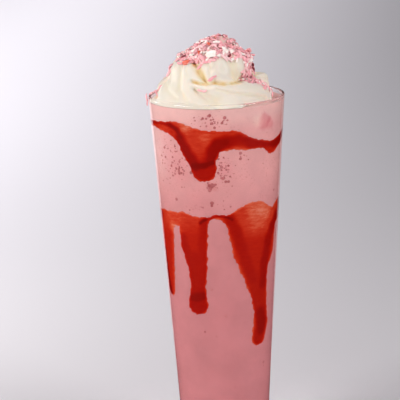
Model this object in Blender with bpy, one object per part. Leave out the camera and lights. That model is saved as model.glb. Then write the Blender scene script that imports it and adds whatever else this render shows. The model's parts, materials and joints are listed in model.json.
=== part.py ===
"""A strawberry milkshake in a tall tapered glass: the drink, the froth poured on it, two rings of
strawberry sauce that run down the inside of the glass, and a piped swirl of cream strewn with pink
and white chocolate curls.

Metres, +Z up, with the origin at the centre of the glass's foot. An azimuth is in degrees round the
glass: 0 is the front (-Y) and 90 is the right-hand side (+X).
"""

import math

import bmesh
import bpy
import numpy as np
from mathutils import Matrix, Vector
from mathutils.bvhtree import BVHTree

# Glass
GLASS_HEIGHT = 0.205
RIM_RADIUS = 0.0375
TAPER = 0.069  # radius lost for each metre down from the rim
WALL_AT_RIM = 0.0016
WALL_AT_FOOT = 0.0026
BASE_THICKNESS = 0.018
HEEL_RADIUS = 0.003
PUNT_RADIUS = 0.015
PUNT_DEPTH = 0.0012
CAVITY_FILLET = 0.008

# Facets round every turned piece, and the step between rows of the sauce's outline
FACETS = 64
SAUCE_ROW = 0.0028

# Contents
GAP = 0.0003  # between pieces that touch
DRINK_LEVEL = 0.1430  # where the froth lies on the drink
FROTH_LEVEL = 0.2025
SAUCE_THICKNESS = 0.0011
SAUCE_FILLET = 0.003  # how softly a drip runs out of its band

# Sauce bands: azimuth, height of the upper edge, height of the lower edge
UPPER_BAND = (
    (-180, 0.1915, 0.1830),
    (-150, 0.1890, 0.1800),
    (-120, 0.1930, 0.1850),
    (-95, 0.1925, 0.1890),
    (-75, 0.1935, 0.1898),
    (-55, 0.1945, 0.1885),
    (-35, 0.1955, 0.1845),
    (-20, 0.1925, 0.1810),
    (0, 0.1910, 0.1805),
    (18, 0.1905, 0.1795),
    (32, 0.1862, 0.1790),
    (43, 0.1840, 0.1790),
    (55, 0.1825, 0.1745),
    (68, 0.1838, 0.1770),
    (82, 0.1870, 0.1810),
    (105, 0.1925, 0.1855),
    (130, 0.1910, 0.1815),
    (155, 0.1935, 0.1860),
)
LOWER_BAND = (
    (-180, 0.1455, 0.1380),
    (-150, 0.1475, 0.1350),
    (-120, 0.1440, 0.1375),
    (-95, 0.1430, 0.1365),
    (-65, 0.1440, 0.1360),
    (-40, 0.1445, 0.1370),
    (-18, 0.1422, 0.1390),
    (-2, 0.1446, 0.1415),
    (10, 0.1442, 0.1365),
    (28, 0.1488, 0.1340),
    (43, 0.1490, 0.1330),
    (62, 0.1440, 0.1330),
    (72, 0.1475, 0.1345),
    (90, 0.1490, 0.1370),
    (120, 0.1450, 0.1360),
    (150, 0.1480, 0.1370),
)

# Drips that run down from a band: azimuth, height and half-width at points down each drip
UPPER_DRIPS = (
    ((-36, 0.1885, 0.0034), (-28, 0.1805, 0.0044), (-19, 0.1735, 0.0054), (-13.5, 0.1697, 0.0064)),
    ((5, 0.1850, 0.0040), (-5, 0.1820, 0.0052), (-11, 0.1760, 0.0056), (-13.5, 0.1697, 0.0064)),
    ((112, 0.1860, 0.0060), (113, 0.1770, 0.0042), (112, 0.1700, 0.0048)),
    ((168, 0.1860, 0.0062), (170, 0.1740, 0.0044), (169, 0.1640, 0.0054)),
    ((-140, 0.1830, 0.0058), (-139, 0.1760, 0.0044), (-140, 0.1690, 0.0050)),
)
LOWER_DRIPS = (
    ((-67, 0.1350, 0.0080), (-68, 0.1150, 0.0060), (-69.5, 0.0985, 0.0044)),
    (
        (-28, 0.1385, 0.0090),
        (-28.5, 0.1260, 0.0083),
        (-25.5, 0.1140, 0.0060),
        (-26, 0.1020, 0.0046),
        (-27.5, 0.0925, 0.0062),
    ),
    (
        (40, 0.1350, 0.0175),
        (41, 0.1240, 0.0152),
        (39.5, 0.1150, 0.0108),
        (42, 0.1060, 0.0083),
        (46, 0.0970, 0.0063),
        (49, 0.0870, 0.0053),
        (50.5, 0.0790, 0.0062),
        (47.5, 0.0715, 0.0055),
    ),
    ((96, 0.1400, 0.0080), (97, 0.1200, 0.0066), (97, 0.1060, 0.0048)),
    ((135, 0.1380, 0.0080), (134, 0.1240, 0.0052), (133, 0.1150, 0.0056)),
    ((171, 0.1400, 0.0074), (172, 0.1120, 0.0046), (171, 0.0940, 0.0060)),
    ((-147, 0.1380, 0.0088), (-146, 0.1200, 0.0056), (-147, 0.1040, 0.0056)),
    ((-108, 0.1380, 0.0070), (-109, 0.1260, 0.0046), (-108, 0.1170, 0.0050)),
)

# Cream: one strand of star-shaped section, piped clockwise in three turns that rise to a dome.
# Each station is degrees along the piping, distance from the swirl's axis, height above the rim
# and the strand's radius.
CREAM_OFFSET_X = -0.0018  # the swirl stands off the glass's axis
CREAM_OFFSET_Y = -0.0015
STRAND_START = 8.0  # azimuth where the piping starts
STRAND = (
    (0, 0.0215, -0.0040, 0.0050),
    (22, 0.0222, -0.0022, 0.0106),
    (50, 0.0218, -0.0010, 0.0110),
    (95, 0.0212, 0.0004, 0.0106),
    (185, 0.0204, -0.0008, 0.0098),
    (275, 0.0195, -0.0010, 0.0096),
    (335, 0.0212, 0.0004, 0.0104),
    (362, 0.0200, 0.0032, 0.0108),
    (388, 0.0178, 0.0072, 0.0112),
    (415, 0.0150, 0.0104, 0.0112),
    (455, 0.0134, 0.0126, 0.0108),
    (540, 0.0100, 0.0150, 0.0102),
    (630, 0.0076, 0.0148, 0.0098),
    (700, 0.0094, 0.0158, 0.0104),
    (728, 0.0088, 0.0174, 0.0106),
    (755, 0.0070, 0.0200, 0.0104),
    (800, 0.0052, 0.0216, 0.0102),
    (880, 0.0036, 0.0226, 0.0102),
    (960, 0.0026, 0.0230, 0.0100),
)
PEAK_LEAN = 0.0048  # how far the top of the swirl leans to the right
STRAND_LOBES = 3
STRAND_CREASE = 0.18  # depth of the creases between lobes, as a share of the strand's radius
STRAND_TWIST = -0.052  # length of strand in which its lobes turn once round
FILLER_RADIUS = 0.0225  # cream that closes the middle of the swirl
FILLER_HEIGHT = 0.0300
CREAM_COLUMNS = 58
CREAM_ROWS = 20

# Chocolate curls
CURL_SEED = 7
CURL_COUNT = 42
CURL_LENGTH = (0.0040, 0.0070)
CURL_WIDTH = (0.0016, 0.0024)
CURL_THICKNESS = 0.0011
CURL_BEND = (0.0028, 0.0060)  # radius that a curl is bent to
CURL_SPACING = 0.0030  # least distance between the middles of two curls
CURL_CLEAR_OF_RIM = 0.0022  # height above the rim under which no curl lies

# Colours
GLASS_COLOUR = (0.95, 0.96, 0.97)
DRINK_COLOUR = (0.58, 0.19, 0.20)
FROTH_COLOUR = (0.72, 0.32, 0.32)
SAUCE_COLOUR = (0.40, 0.012, 0.006)
CREAM_COLOUR = (0.90, 0.82, 0.70)


def outer_radius(height):
    return RIM_RADIUS - TAPER * (GLASS_HEIGHT - height)


def inner_radius(height):
    share = height / GLASS_HEIGHT
    return outer_radius(height) - (WALL_AT_FOOT + (WALL_AT_RIM - WALL_AT_FOOT) * share)


def on_wall(azimuth, height, radius):
    """The point at this azimuth, in degrees, on a circle round the glass's axis."""
    turn = math.radians(azimuth)
    return Vector((radius * math.sin(turn), -radius * math.cos(turn), height))


def arc(centre, radius, start, end, steps):
    """Profile points (radius, height) along an arc, both ends included, angles in degrees."""
    angles = np.radians(np.linspace(start, end, steps + 1))
    return [(centre[0] + radius * math.cos(a), centre[1] + radius * math.sin(a)) for a in angles]


def material(name, colour, roughness, transmission=0.0):
    made = bpy.data.materials.new(name)
    made.use_nodes = True
    shader = made.node_tree.nodes["Principled BSDF"]
    shader.inputs["Base Color"].default_value = (*colour, 1.0)
    shader.inputs["Roughness"].default_value = roughness
    shader.inputs["Metallic"].default_value = 0.0
    shader.inputs["Transmission Weight"].default_value = transmission
    made.diffuse_color = (*colour, 1.0)
    return made


def make_object(name, bm, finish=None, collection=None):
    mesh = bpy.data.meshes.new(name)
    bm.to_mesh(mesh)
    bm.free()
    made = bpy.data.objects.new(name, mesh)
    if finish is not None:
        mesh.materials.append(finish)
    (collection or bpy.context.scene.collection).objects.link(made)
    return made


def shade_round(obj, angle=40.0):
    obj.data.shade_smooth()
    obj.data.set_sharp_from_angle(angle=math.radians(angle))


def as_guide(obj):
    """A cutter or a guide isn't one of the object's pieces."""
    obj.hide_render = True
    obj.display_type = "WIRE"


def turned(name, profile, finish):
    """A closed profile (radius, height) that starts and ends on the axis, spun round it."""
    bm = bmesh.new()
    start = on_wall(0, 0, 1)
    points = [bm.verts.new((start.x * r, start.y * r, z)) for r, z in profile]
    edges = [bm.edges.new(pair) for pair in zip(points, points[1:])]
    bmesh.ops.spin(
        bm, geom=points + edges, cent=(0, 0, 0), axis=(0, 0, 1), angle=math.tau, steps=FACETS
    )
    bmesh.ops.remove_doubles(bm, verts=bm.verts, dist=1e-6)
    bmesh.ops.recalc_face_normals(bm, faces=bm.faces)
    made = make_object(name, bm, finish)
    shade_round(made)
    return made


def build_glass():
    """Foot with a shallow punt, rounded heel, straight tapered wall, round lip and dished floor."""
    punt = [(PUNT_RADIUS * share, PUNT_DEPTH * (1 - share**2)) for share in (0.0, 0.6, 1.0)]
    heel_centre = (outer_radius(HEEL_RADIUS) - HEEL_RADIUS, HEEL_RADIUS)
    heel = arc(heel_centre, HEEL_RADIUS, -90, 0, 3)
    lip = WALL_AT_RIM / 2
    lip_centre = (outer_radius(GLASS_HEIGHT - lip) - lip, GLASS_HEIGHT - lip)
    rim = arc(lip_centre, lip, 0, 180, 4)
    cavity = cavity_profile(0.0)
    return turned("glass", punt + heel + rim + cavity[::-1], material("glass", GLASS_COLOUR, 0.02, 1.0))


def cavity_profile(inset):
    """The dished floor of the glass's inside, from the axis out to where the wall begins."""
    height = BASE_THICKNESS + CAVITY_FILLET
    centre = (inner_radius(height) - CAVITY_FILLET, height)
    return [(0.0, BASE_THICKNESS + inset)] + arc(centre, CAVITY_FILLET - inset, -90, 0, 4)


def build_drink():
    top = DRINK_LEVEL - GAP / 2
    profile = cavity_profile(GAP) + [(inner_radius(top) - GAP, top), (0.0, top)]
    return turned("milkshake", profile, material("milkshake", DRINK_COLOUR, 0.45))


def build_froth():
    low = DRINK_LEVEL + GAP / 2
    profile = [
        (0.0, low),
        (inner_radius(low) - GAP, low),
        (inner_radius(FROTH_LEVEL) - GAP, FROTH_LEVEL),
        (0.0, FROTH_LEVEL),
    ]
    return turned("froth", profile, material("froth", FROTH_COLOUR, 0.55))


def smooth_along(points, column, at):
    """A smooth curve through one column of the points, read where the first column is at."""
    first = max(1, min(len(points) - 3, sum(p[0] <= at for p in points) - 1))
    before, here, after, beyond = points[first - 1 : first + 3]
    span = after[0] - here[0]
    share = (at - here[0]) / span
    slope_here = (after[column] - before[column]) / (after[0] - before[0]) * span
    slope_after = (beyond[column] - here[column]) / (beyond[0] - here[0]) * span
    square, cube = share**2, share**3
    return (
        (2 * cube - 3 * square + 1) * here[column]
        + (cube - 2 * square + share) * slope_here
        + (3 * square - 2 * cube) * after[column]
        + (cube - square) * slope_after
    )


def round_the_ring(band, column, azimuth):
    """The same curve for points that run once round the glass, from -180 degrees."""
    before = [(p[0] - 360, *p[1:]) for p in band[-2:]]
    after = [(p[0] + 360, *p[1:]) for p in band[:3]]
    return smooth_along((*before, *band, *after), column, (azimuth + 180) % 360 - 180)


def inside_drip(drip, azimuth, height):
    """How far inside one drip a point of the wall lies, in metres; below 0 it is outside."""
    radius = inner_radius(height)
    best = -1.0
    for (a0, h0, w0), (a1, h1, w1) in zip(drip, drip[1:]):
        across = math.radians((azimuth - a0 + 180) % 360 - 180) * radius
        run = math.radians(a1 - a0) * radius
        fall = h1 - h0
        share = (across * run + (height - h0) * fall) / (run**2 + fall**2)
        share = min(1.0, max(0.0, share))
        away = math.hypot(across - share * run, height - h0 - share * fall)
        best = max(best, w0 + (w1 - w0) * share - away)
    return best


def soft_max(a, b, reach):
    """The larger of two depths, with a fillet where they are within reach of each other."""
    blend = max(0.0, reach - abs(a - b)) / reach
    return max(a, b) + blend**2 * reach / 4


def inside_sauce(band, drips, azimuth, height):
    """How far inside a ring of sauce a point of the wall lies; below 0 it is outside."""
    upper = round_the_ring(band, 1, azimuth)
    lower = round_the_ring(band, 2, azimuth)
    depth = min(upper - height, height - lower)
    for drip in drips:
        in_drip = inside_drip(drip, azimuth, height)
        depth = soft_max(depth, min(in_drip, upper - height), SAUCE_FILLET)
    return depth


def sauce_sheet(name, band, drips, outer_inset, inner_inset, grow, finish=None):
    """A closed curved sheet against the glass's wall, of the outline where the sauce lies.

    The outline is read on a grid of columns and rows: a cell that the outline crosses is clipped
    there. Both faces are then cleared of the edges that turn no corner."""
    low = min(p[1] - p[2] for drip in drips for p in drip) - 2 * SAUCE_ROW
    high = max(p[1] for p in band) + 2 * SAUCE_ROW
    rows = math.ceil((high - low) / SAUCE_ROW)
    step = 360 / FACETS
    least = 0.1  # a crossing keeps this share of its edge away from either end

    depth = np.array(
        [
            [inside_sauce(band, drips, i * step, low + j * SAUCE_ROW) + grow for j in range(rows + 1)]
            for i in range(FACETS)
        ]
    )

    def crossing(first, second):
        share = depth[first] / (depth[first] - depth[second])
        return min(1 - least, max(least, share))

    places = {}
    polygons = []
    for i in range(FACETS):
        for j in range(rows):
            corners = [(i, j), (i + 1, j), (i + 1, j + 1), (i, j + 1)]
            polygon = []
            for here, there in zip(corners, corners[1:] + corners[:1]):
                a, b = (here[0] % FACETS, here[1]), (there[0] % FACETS, there[1])
                if depth[a] > 0:
                    polygon.append(a)
                    places[a] = (a[0] * step, low + a[1] * SAUCE_ROW)
                if (depth[a] > 0) != (depth[b] > 0):
                    key = (min(a, b), max(a, b))
                    share = crossing(a, b)
                    azimuth = (here[0] + share * (there[0] - here[0])) * step
                    row = here[1] + share * (there[1] - here[1])
                    polygon.append(key)
                    places.setdefault(key, (azimuth, low + row * SAUCE_ROW))
            if polygon:
                polygons.append(polygon)

    bm = bmesh.new()
    skins = []
    for inset in (outer_inset, inner_inset):
        skin = {}
        for key, (azimuth, height) in places.items():
            skin[key] = bm.verts.new(on_facets(azimuth, height, inner_radius(height) - inset))
        skins.append(skin)
    outer, inner = skins
    open_edges = set()
    for polygon in polygons:
        bm.faces.new([outer[key] for key in polygon])
        bm.faces.new([inner[key] for key in reversed(polygon)])
        open_edges |= set(zip(polygon, polygon[1:] + polygon[:1]))
    for a, b in sorted(open_edges, key=repr):
        if (b, a) not in open_edges:
            bm.faces.new([outer[b], outer[a], inner[a], inner[b]])
    bmesh.ops.dissolve_limit(
        bm, angle_limit=math.radians(2.0), verts=bm.verts, edges=bm.edges, delimit=set()
    )
    bmesh.ops.triangulate(bm, faces=bm.faces)
    made = make_object(name, bm, finish)
    shade_round(made)
    return made


def on_facets(azimuth, height, radius):
    """The point on the flat facet between two of the turned pieces' edges."""
    step = 360 / FACETS
    first = math.floor(azimuth / step + 1e-9)
    share = azimuth / step - first
    here = on_wall(first * step, height, radius)
    return here.lerp(on_wall((first + 1) * step, height, radius), share)


def build_sauce(name, band, drips, carriers):
    """A ring of sauce on the wall, with a hollow of its shape cut for it in the drink or froth."""
    sauce = material(name, SAUCE_COLOUR, 0.12)
    made = sauce_sheet(name, band, drips, GAP, GAP + SAUCE_THICKNESS, 0.0, sauce)
    cutter = sauce_sheet(
        name + "_hollow", band, drips, -GAP, 2 * GAP + SAUCE_THICKNESS, 1.3 * GAP
    )
    as_guide(cutter)
    for carrier in carriers:
        cut = carrier.modifiers.new(cutter.name, "BOOLEAN")
        cut.operation = "DIFFERENCE"
        cut.object = cutter
        cut.solver = "MANIFOLD"
    return made


def eased(share):
    share = min(1.0, max(0.0, share))
    return share * share * (3 - 2 * share)


def strand_at(turn):
    """Centre and radius of the piped strand, turn degrees after its start."""
    first, last = STRAND[0], STRAND[-1]
    stations = ((first[0] - 60, *first[1:]), *STRAND, (last[0] + 60, *last[1:]))
    ring, height, radius = (smooth_along(stations, column, turn) for column in (1, 2, 3))
    centre = on_wall(STRAND_START - turn, GLASS_HEIGHT + height, ring)
    lean = PEAK_LEAN * eased((height - 0.008) / 0.015)
    return centre + Vector((CREAM_OFFSET_X + lean, CREAM_OFFSET_Y, 0.0)), radius


def star_section(angle):
    """Share of the strand's radius at an angle round its section: round lobes, sharp creases."""
    lobe = abs(math.cos(angle * STRAND_LOBES / 2)) ** 0.75
    return 1 - STRAND_CREASE * (1 - lobe)


def build_strand_guide():
    """The whole piped strand as a closed tube, which the cream's skin is drawn over."""
    turns = np.arange(0.0, STRAND[-1][0] + 1.0, 5.0)
    around = 32
    bm = bmesh.new()
    rings = []
    length = 0.0
    last = strand_at(turns[0])[0]
    for turn in turns:
        centre, radius = strand_at(turn)
        ahead = strand_at(turn + 1)[0] - strand_at(turn - 1)[0]
        ahead.normalize()
        length += (centre - last).length
        last = centre
        outward = on_wall(STRAND_START - turn, 0.0, 1.0)
        outward = (outward - ahead * outward.dot(ahead)).normalized()
        upward = outward.cross(ahead).normalized()
        twist = math.tau * length / STRAND_TWIST
        ring = []
        for k in range(around):
            angle = math.tau * k / around
            reach = radius * star_section(angle + twist)
            offset = outward * math.cos(angle) + upward * math.sin(angle)
            ring.append(bm.verts.new(centre + offset * reach))
        rings.append(ring)
    for ring, following in zip(rings, rings[1:]):
        for k in range(around):
            n = (k + 1) % around
            bm.faces.new([ring[k], ring[n], following[n], following[k]])
    bm.faces.new(rings[0])
    bm.faces.new(rings[-1][::-1])
    bmesh.ops.recalc_face_normals(bm, faces=bm.faces)
    guide = make_object("strand_guide", bm)
    as_guide(guide)
    return guide


def cream_centre():
    """The middle of the cream's flat underside, which every ray to its skin starts from."""
    return Vector((CREAM_OFFSET_X, CREAM_OFFSET_Y, FROTH_LEVEL + GAP))


def cream_reach(tree, direction):
    """How far the cream reaches from its centre in one direction."""
    centre = cream_centre()
    far = 0.08
    hit = tree.ray_cast(centre + direction * far, -direction)[0]
    reach = (hit - centre).length if hit is not None else 0.0
    level = math.hypot(direction.x, direction.y)
    filler = 1 / math.hypot(level / FILLER_RADIUS, direction.z / FILLER_HEIGHT)
    reach = max(reach, filler)
    point = centre + direction * reach
    if point.z < GLASS_HEIGHT + 2 * GAP:  # here the cream is pressed against the glass
        most = inner_radius(min(point.z, GLASS_HEIGHT)) - 1.2 * GAP
        while math.hypot(point.x, point.y) > most:
            reach *= 0.995
            point = centre + direction * reach
    return reach


def build_cream(strand):
    """The skin over the whole strand, in columns round the centre and rows up to the peak."""
    tree = BVHTree.FromObject(strand, bpy.context.evaluated_depsgraph_get())
    centre = cream_centre()
    bm = bmesh.new()
    rows = []
    for i in range(CREAM_ROWS):
        rise = math.radians(90 * i / CREAM_ROWS)
        row = []
        for k in range(CREAM_COLUMNS):
            level = on_wall(360 * k / CREAM_COLUMNS, 0.0, math.cos(rise))
            direction = Vector((level.x, level.y, math.sin(rise)))
            row.append(bm.verts.new(centre + direction * cream_reach(tree, direction)))
        rows.append(row)
    peak = bm.verts.new(centre + Vector((0, 0, 1)) * cream_reach(tree, Vector((0, 0, 1))))
    underside = bm.verts.new(centre)
    for k in range(CREAM_COLUMNS):
        n = (k + 1) % CREAM_COLUMNS
        for row, above in zip(rows, rows[1:]):
            bm.faces.new([row[k], row[n], above[n], above[k]])
        bm.faces.new([rows[-1][k], rows[-1][n], peak])
        bm.faces.new([rows[0][n], rows[0][k], underside])
    bmesh.ops.recalc_face_normals(bm, faces=bm.faces)
    return make_object("cream", bm, material("cream", CREAM_COLOUR, 0.5))


def curl_density(azimuth, rise):
    """How thickly the curls lie: heaped on the peak, trailing down the right, a few elsewhere."""
    heap = eased((rise - 52) / 16)
    off_trail = abs((azimuth - 82 + 180) % 360 - 180)
    trail = 0.75 * eased((36 - off_trail) / 24) * eased((rise - 12) / 10)
    strays = 0.07 * eased((rise - 16) / 8)
    return max(heap, trail, strays)


def build_curl(name, spot, normal, rng, collection):
    """A small shaving of chocolate, bent along its length and sunk a little into the cream."""
    length = rng.uniform(*CURL_LENGTH)
    width = rng.uniform(*CURL_WIDTH)
    bend = rng.uniform(*CURL_BEND)
    pieces = 3
    bm = bmesh.new()
    sections = []
    for i in range(pieces + 1):
        angle = (i / pieces - 0.5) * length / bend
        lift = Vector((math.sin(angle), 0.0, math.cos(angle)))
        middle = lift * bend - Vector((0, 0, bend))
        sections.append(
            [
                bm.verts.new(middle + lift * out + Vector((0, side, 0)))
                for side, out in (
                    (-width / 2, -CURL_THICKNESS / 2),
                    (width / 2, -CURL_THICKNESS / 2),
                    (width / 2, CURL_THICKNESS / 2),
                    (-width / 2, CURL_THICKNESS / 2),
                )
            ]
        )
    for section, following in zip(sections, sections[1:]):
        for k in range(4):
            n = (k + 1) % 4
            bm.faces.new([section[k], section[n], following[n], following[k]])
    bm.faces.new(sections[0][::-1])
    bm.faces.new(sections[-1])
    bmesh.ops.recalc_face_normals(bm, faces=bm.faces)
    bmesh.ops.triangulate(bm, faces=bm.faces)
    lie = normal.to_track_quat("Z", "Y").to_matrix().to_4x4()
    spin = Matrix.Rotation(rng.uniform(0, math.tau), 4, "Z")
    tip = Matrix.Rotation(math.radians(rng.uniform(-32, 32)), 4, "Y")
    roll = Matrix.Rotation(math.radians(rng.uniform(-40, 40)), 4, "X")
    lift = Matrix.Translation(spot + normal * CURL_THICKNESS * rng.uniform(0.15, 0.5))
    bm.transform(lift @ lie @ spin @ tip @ roll)
    return make_object(name, bm, collection=collection)


def strew_curls(cream):
    """Draws spots over the cream by curl_density, no two too close, and fuses a curl on at each."""
    rng = np.random.default_rng(CURL_SEED)
    tree = BVHTree.FromObject(cream, bpy.context.evaluated_depsgraph_get())
    centre = cream_centre()
    curls = bpy.data.collections.new("curls")
    bpy.context.scene.collection.children.link(curls)
    spots = []
    while len(spots) < CURL_COUNT:
        azimuth = rng.uniform(-180, 180)
        rise = math.degrees(math.asin(rng.uniform(0, 1)))
        if rng.uniform() > curl_density(azimuth, rise):
            continue
        level = on_wall(azimuth, 0.0, math.cos(math.radians(rise)))
        direction = Vector((level.x, level.y, math.sin(math.radians(rise))))
        spot, normal, _, _ = tree.ray_cast(centre + direction * 0.08, -direction)
        if spot.z < GLASS_HEIGHT + CURL_CLEAR_OF_RIM + CURL_LENGTH[1] / 2:
            continue
        if any((spot - other).length < CURL_SPACING for other in spots):
            continue
        spots.append(spot)
        normal = (normal + direction).normalized()
        build_curl(f"curl_{len(spots)}", spot, normal, rng, curls)
    fuse(cream, curls)


def fuse(base, collection):
    """Joins every object of the collection to the base in one union, then removes them."""
    union = base.modifiers.new("curls", "BOOLEAN")
    union.operation = "UNION"
    union.operand_type = "COLLECTION"
    union.collection = collection
    union.solver = "EXACT"
    graph = bpy.context.evaluated_depsgraph_get()
    joined = bpy.data.meshes.new_from_object(base.evaluated_get(graph))
    base.modifiers.remove(union)
    base.data = joined
    for piece in list(collection.objects):
        bpy.data.objects.remove(piece)
    bpy.data.collections.remove(collection)


def main():
    for old in list(bpy.data.objects):
        bpy.data.objects.remove(old)
    build_glass()
    drink = build_drink()
    froth = build_froth()
    build_sauce("sauce_upper", UPPER_BAND, UPPER_DRIPS, [froth])
    build_sauce("sauce_lower", LOWER_BAND, LOWER_DRIPS, [drink, froth])
    cream = build_cream(build_strand_guide())
    strew_curls(cream)
    shade_round(cream)


main()
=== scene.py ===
"""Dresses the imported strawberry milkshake: a clear tapered glass, the drink and its froth, the
sauce that runs down inside the wall, a piped swirl of cream, and chocolate curls.

Metres, +Z up, origin at the centre of the glass's foot. An azimuth is in degrees round the glass:
0 is the front (-Y) and 90 is the right-hand side (+X).
"""

import json
import math

import bmesh
import bpy
import numpy as np
from bpy.props import FloatProperty, FloatVectorProperty, IntProperty, PointerProperty
from mathutils import Matrix, Vector
from mathutils.bvhtree import BVHTree

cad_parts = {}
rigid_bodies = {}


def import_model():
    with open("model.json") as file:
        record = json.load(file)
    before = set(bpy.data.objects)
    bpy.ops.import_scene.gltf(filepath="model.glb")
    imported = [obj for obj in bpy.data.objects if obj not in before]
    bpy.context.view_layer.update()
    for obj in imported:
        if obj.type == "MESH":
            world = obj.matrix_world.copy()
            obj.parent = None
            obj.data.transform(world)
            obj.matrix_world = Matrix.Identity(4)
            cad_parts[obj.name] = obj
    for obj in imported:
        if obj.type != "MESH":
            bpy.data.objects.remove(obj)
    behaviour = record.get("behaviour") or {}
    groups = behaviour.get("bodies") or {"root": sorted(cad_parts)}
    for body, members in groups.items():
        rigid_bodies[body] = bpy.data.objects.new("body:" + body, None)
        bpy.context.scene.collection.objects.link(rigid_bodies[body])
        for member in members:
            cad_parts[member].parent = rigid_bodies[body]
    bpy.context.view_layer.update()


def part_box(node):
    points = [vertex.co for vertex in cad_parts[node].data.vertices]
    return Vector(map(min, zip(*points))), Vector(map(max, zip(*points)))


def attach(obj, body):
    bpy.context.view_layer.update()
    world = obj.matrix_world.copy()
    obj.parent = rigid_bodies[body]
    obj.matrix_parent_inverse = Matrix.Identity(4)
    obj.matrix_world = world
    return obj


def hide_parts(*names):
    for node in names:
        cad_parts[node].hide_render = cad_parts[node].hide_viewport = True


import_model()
GLASS_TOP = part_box("glass")[1]
FROTH_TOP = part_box("froth")[1]

bl_info = {
    "name": "Strawberry milkshake",
    "version": (1, 0, 0),
    "blender": (4, 5, 0),
    "location": "3D View > Sidebar > Milkshake",
    "description": "Builds a strawberry milkshake with sauce drips, a cream swirl and curls",
    "category": "Add Mesh",
}

# Glass, as the solids have it
GLASS_HEIGHT = GLASS_TOP.z
RIM_RADIUS = 0.0375
TAPER = 0.069  # radius lost for each metre down from the rim
WALL_AT_RIM = 0.0016
WALL_AT_FOOT = 0.0026
BASE_THICKNESS = 0.018
HEEL_RADIUS = 0.003
PUNT_RADIUS = 0.015
PUNT_DEPTH = 0.0012
CAVITY_FILLET = 0.008
GLASS_FACETS = 192

# How far into the wall the contents reach, so that no air shows between them
DRINK_INTO_WALL = 0.00012
SAUCE_INTO_WALL = 0.00040
CREAM_INTO_WALL = 0.00008
DRINK_LEVEL = 0.1430
FROTH_LEVEL = FROTH_TOP.z

# Sauce bands: azimuth, height of the upper edge, height of the lower edge
UPPER_BAND = (
    (-180, 0.1915, 0.1830),
    (-150, 0.1890, 0.1800),
    (-120, 0.1930, 0.1850),
    (-95, 0.1925, 0.1890),
    (-75, 0.1935, 0.1898),
    (-55, 0.1945, 0.1885),
    (-35, 0.1955, 0.1845),
    (-20, 0.1925, 0.1810),
    (0, 0.1910, 0.1805),
    (18, 0.1905, 0.1795),
    (32, 0.1862, 0.1790),
    (43, 0.1840, 0.1790),
    (55, 0.1825, 0.1745),
    (68, 0.1838, 0.1770),
    (82, 0.1870, 0.1810),
    (105, 0.1925, 0.1855),
    (130, 0.1910, 0.1815),
    (155, 0.1935, 0.1860),
)
LOWER_BAND = (
    (-180, 0.1455, 0.1380),
    (-150, 0.1475, 0.1350),
    (-120, 0.1440, 0.1375),
    (-95, 0.1430, 0.1365),
    (-65, 0.1440, 0.1360),
    (-40, 0.1445, 0.1370),
    (-18, 0.1422, 0.1390),
    (-2, 0.1446, 0.1415),
    (10, 0.1442, 0.1365),
    (28, 0.1488, 0.1340),
    (43, 0.1490, 0.1330),
    (62, 0.1440, 0.1330),
    (72, 0.1475, 0.1345),
    (90, 0.1490, 0.1370),
    (120, 0.1450, 0.1360),
    (150, 0.1480, 0.1370),
)

# Drips that run down from a band: azimuth, height and half-width at points down each drip
UPPER_DRIPS = (
    ((-36, 0.1885, 0.0034), (-28, 0.1805, 0.0044), (-19, 0.1735, 0.0054), (-13.5, 0.1697, 0.0064)),
    ((5, 0.1850, 0.0040), (-5, 0.1820, 0.0052), (-11, 0.1760, 0.0056), (-13.5, 0.1697, 0.0064)),
    ((112, 0.1860, 0.0060), (113, 0.1770, 0.0042), (112, 0.1700, 0.0048)),
    ((168, 0.1860, 0.0062), (170, 0.1740, 0.0044), (169, 0.1640, 0.0054)),
    ((-140, 0.1830, 0.0058), (-139, 0.1760, 0.0044), (-140, 0.1690, 0.0050)),
)
LOWER_DRIPS = (
    ((-67, 0.1350, 0.0080), (-68, 0.1150, 0.0060), (-69.5, 0.0985, 0.0044)),
    (
        (-28, 0.1385, 0.0090),
        (-28.5, 0.1260, 0.0083),
        (-25.5, 0.1140, 0.0060),
        (-26, 0.1020, 0.0046),
        (-27.5, 0.0925, 0.0062),
    ),
    (
        (40, 0.1350, 0.0175),
        (41, 0.1240, 0.0152),
        (39.5, 0.1150, 0.0108),
        (42, 0.1060, 0.0083),
        (46, 0.0970, 0.0063),
        (49, 0.0870, 0.0053),
        (50.5, 0.0790, 0.0062),
        (47.5, 0.0715, 0.0055),
    ),
    ((96, 0.1400, 0.0080), (97, 0.1200, 0.0066), (97, 0.1060, 0.0048)),
    ((135, 0.1380, 0.0080), (134, 0.1240, 0.0052), (133, 0.1150, 0.0056)),
    ((171, 0.1400, 0.0074), (172, 0.1120, 0.0046), (171, 0.0940, 0.0060)),
    ((-147, 0.1380, 0.0088), (-146, 0.1200, 0.0056), (-147, 0.1040, 0.0056)),
    ((-108, 0.1380, 0.0070), (-109, 0.1260, 0.0046), (-108, 0.1170, 0.0050)),
)

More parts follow.
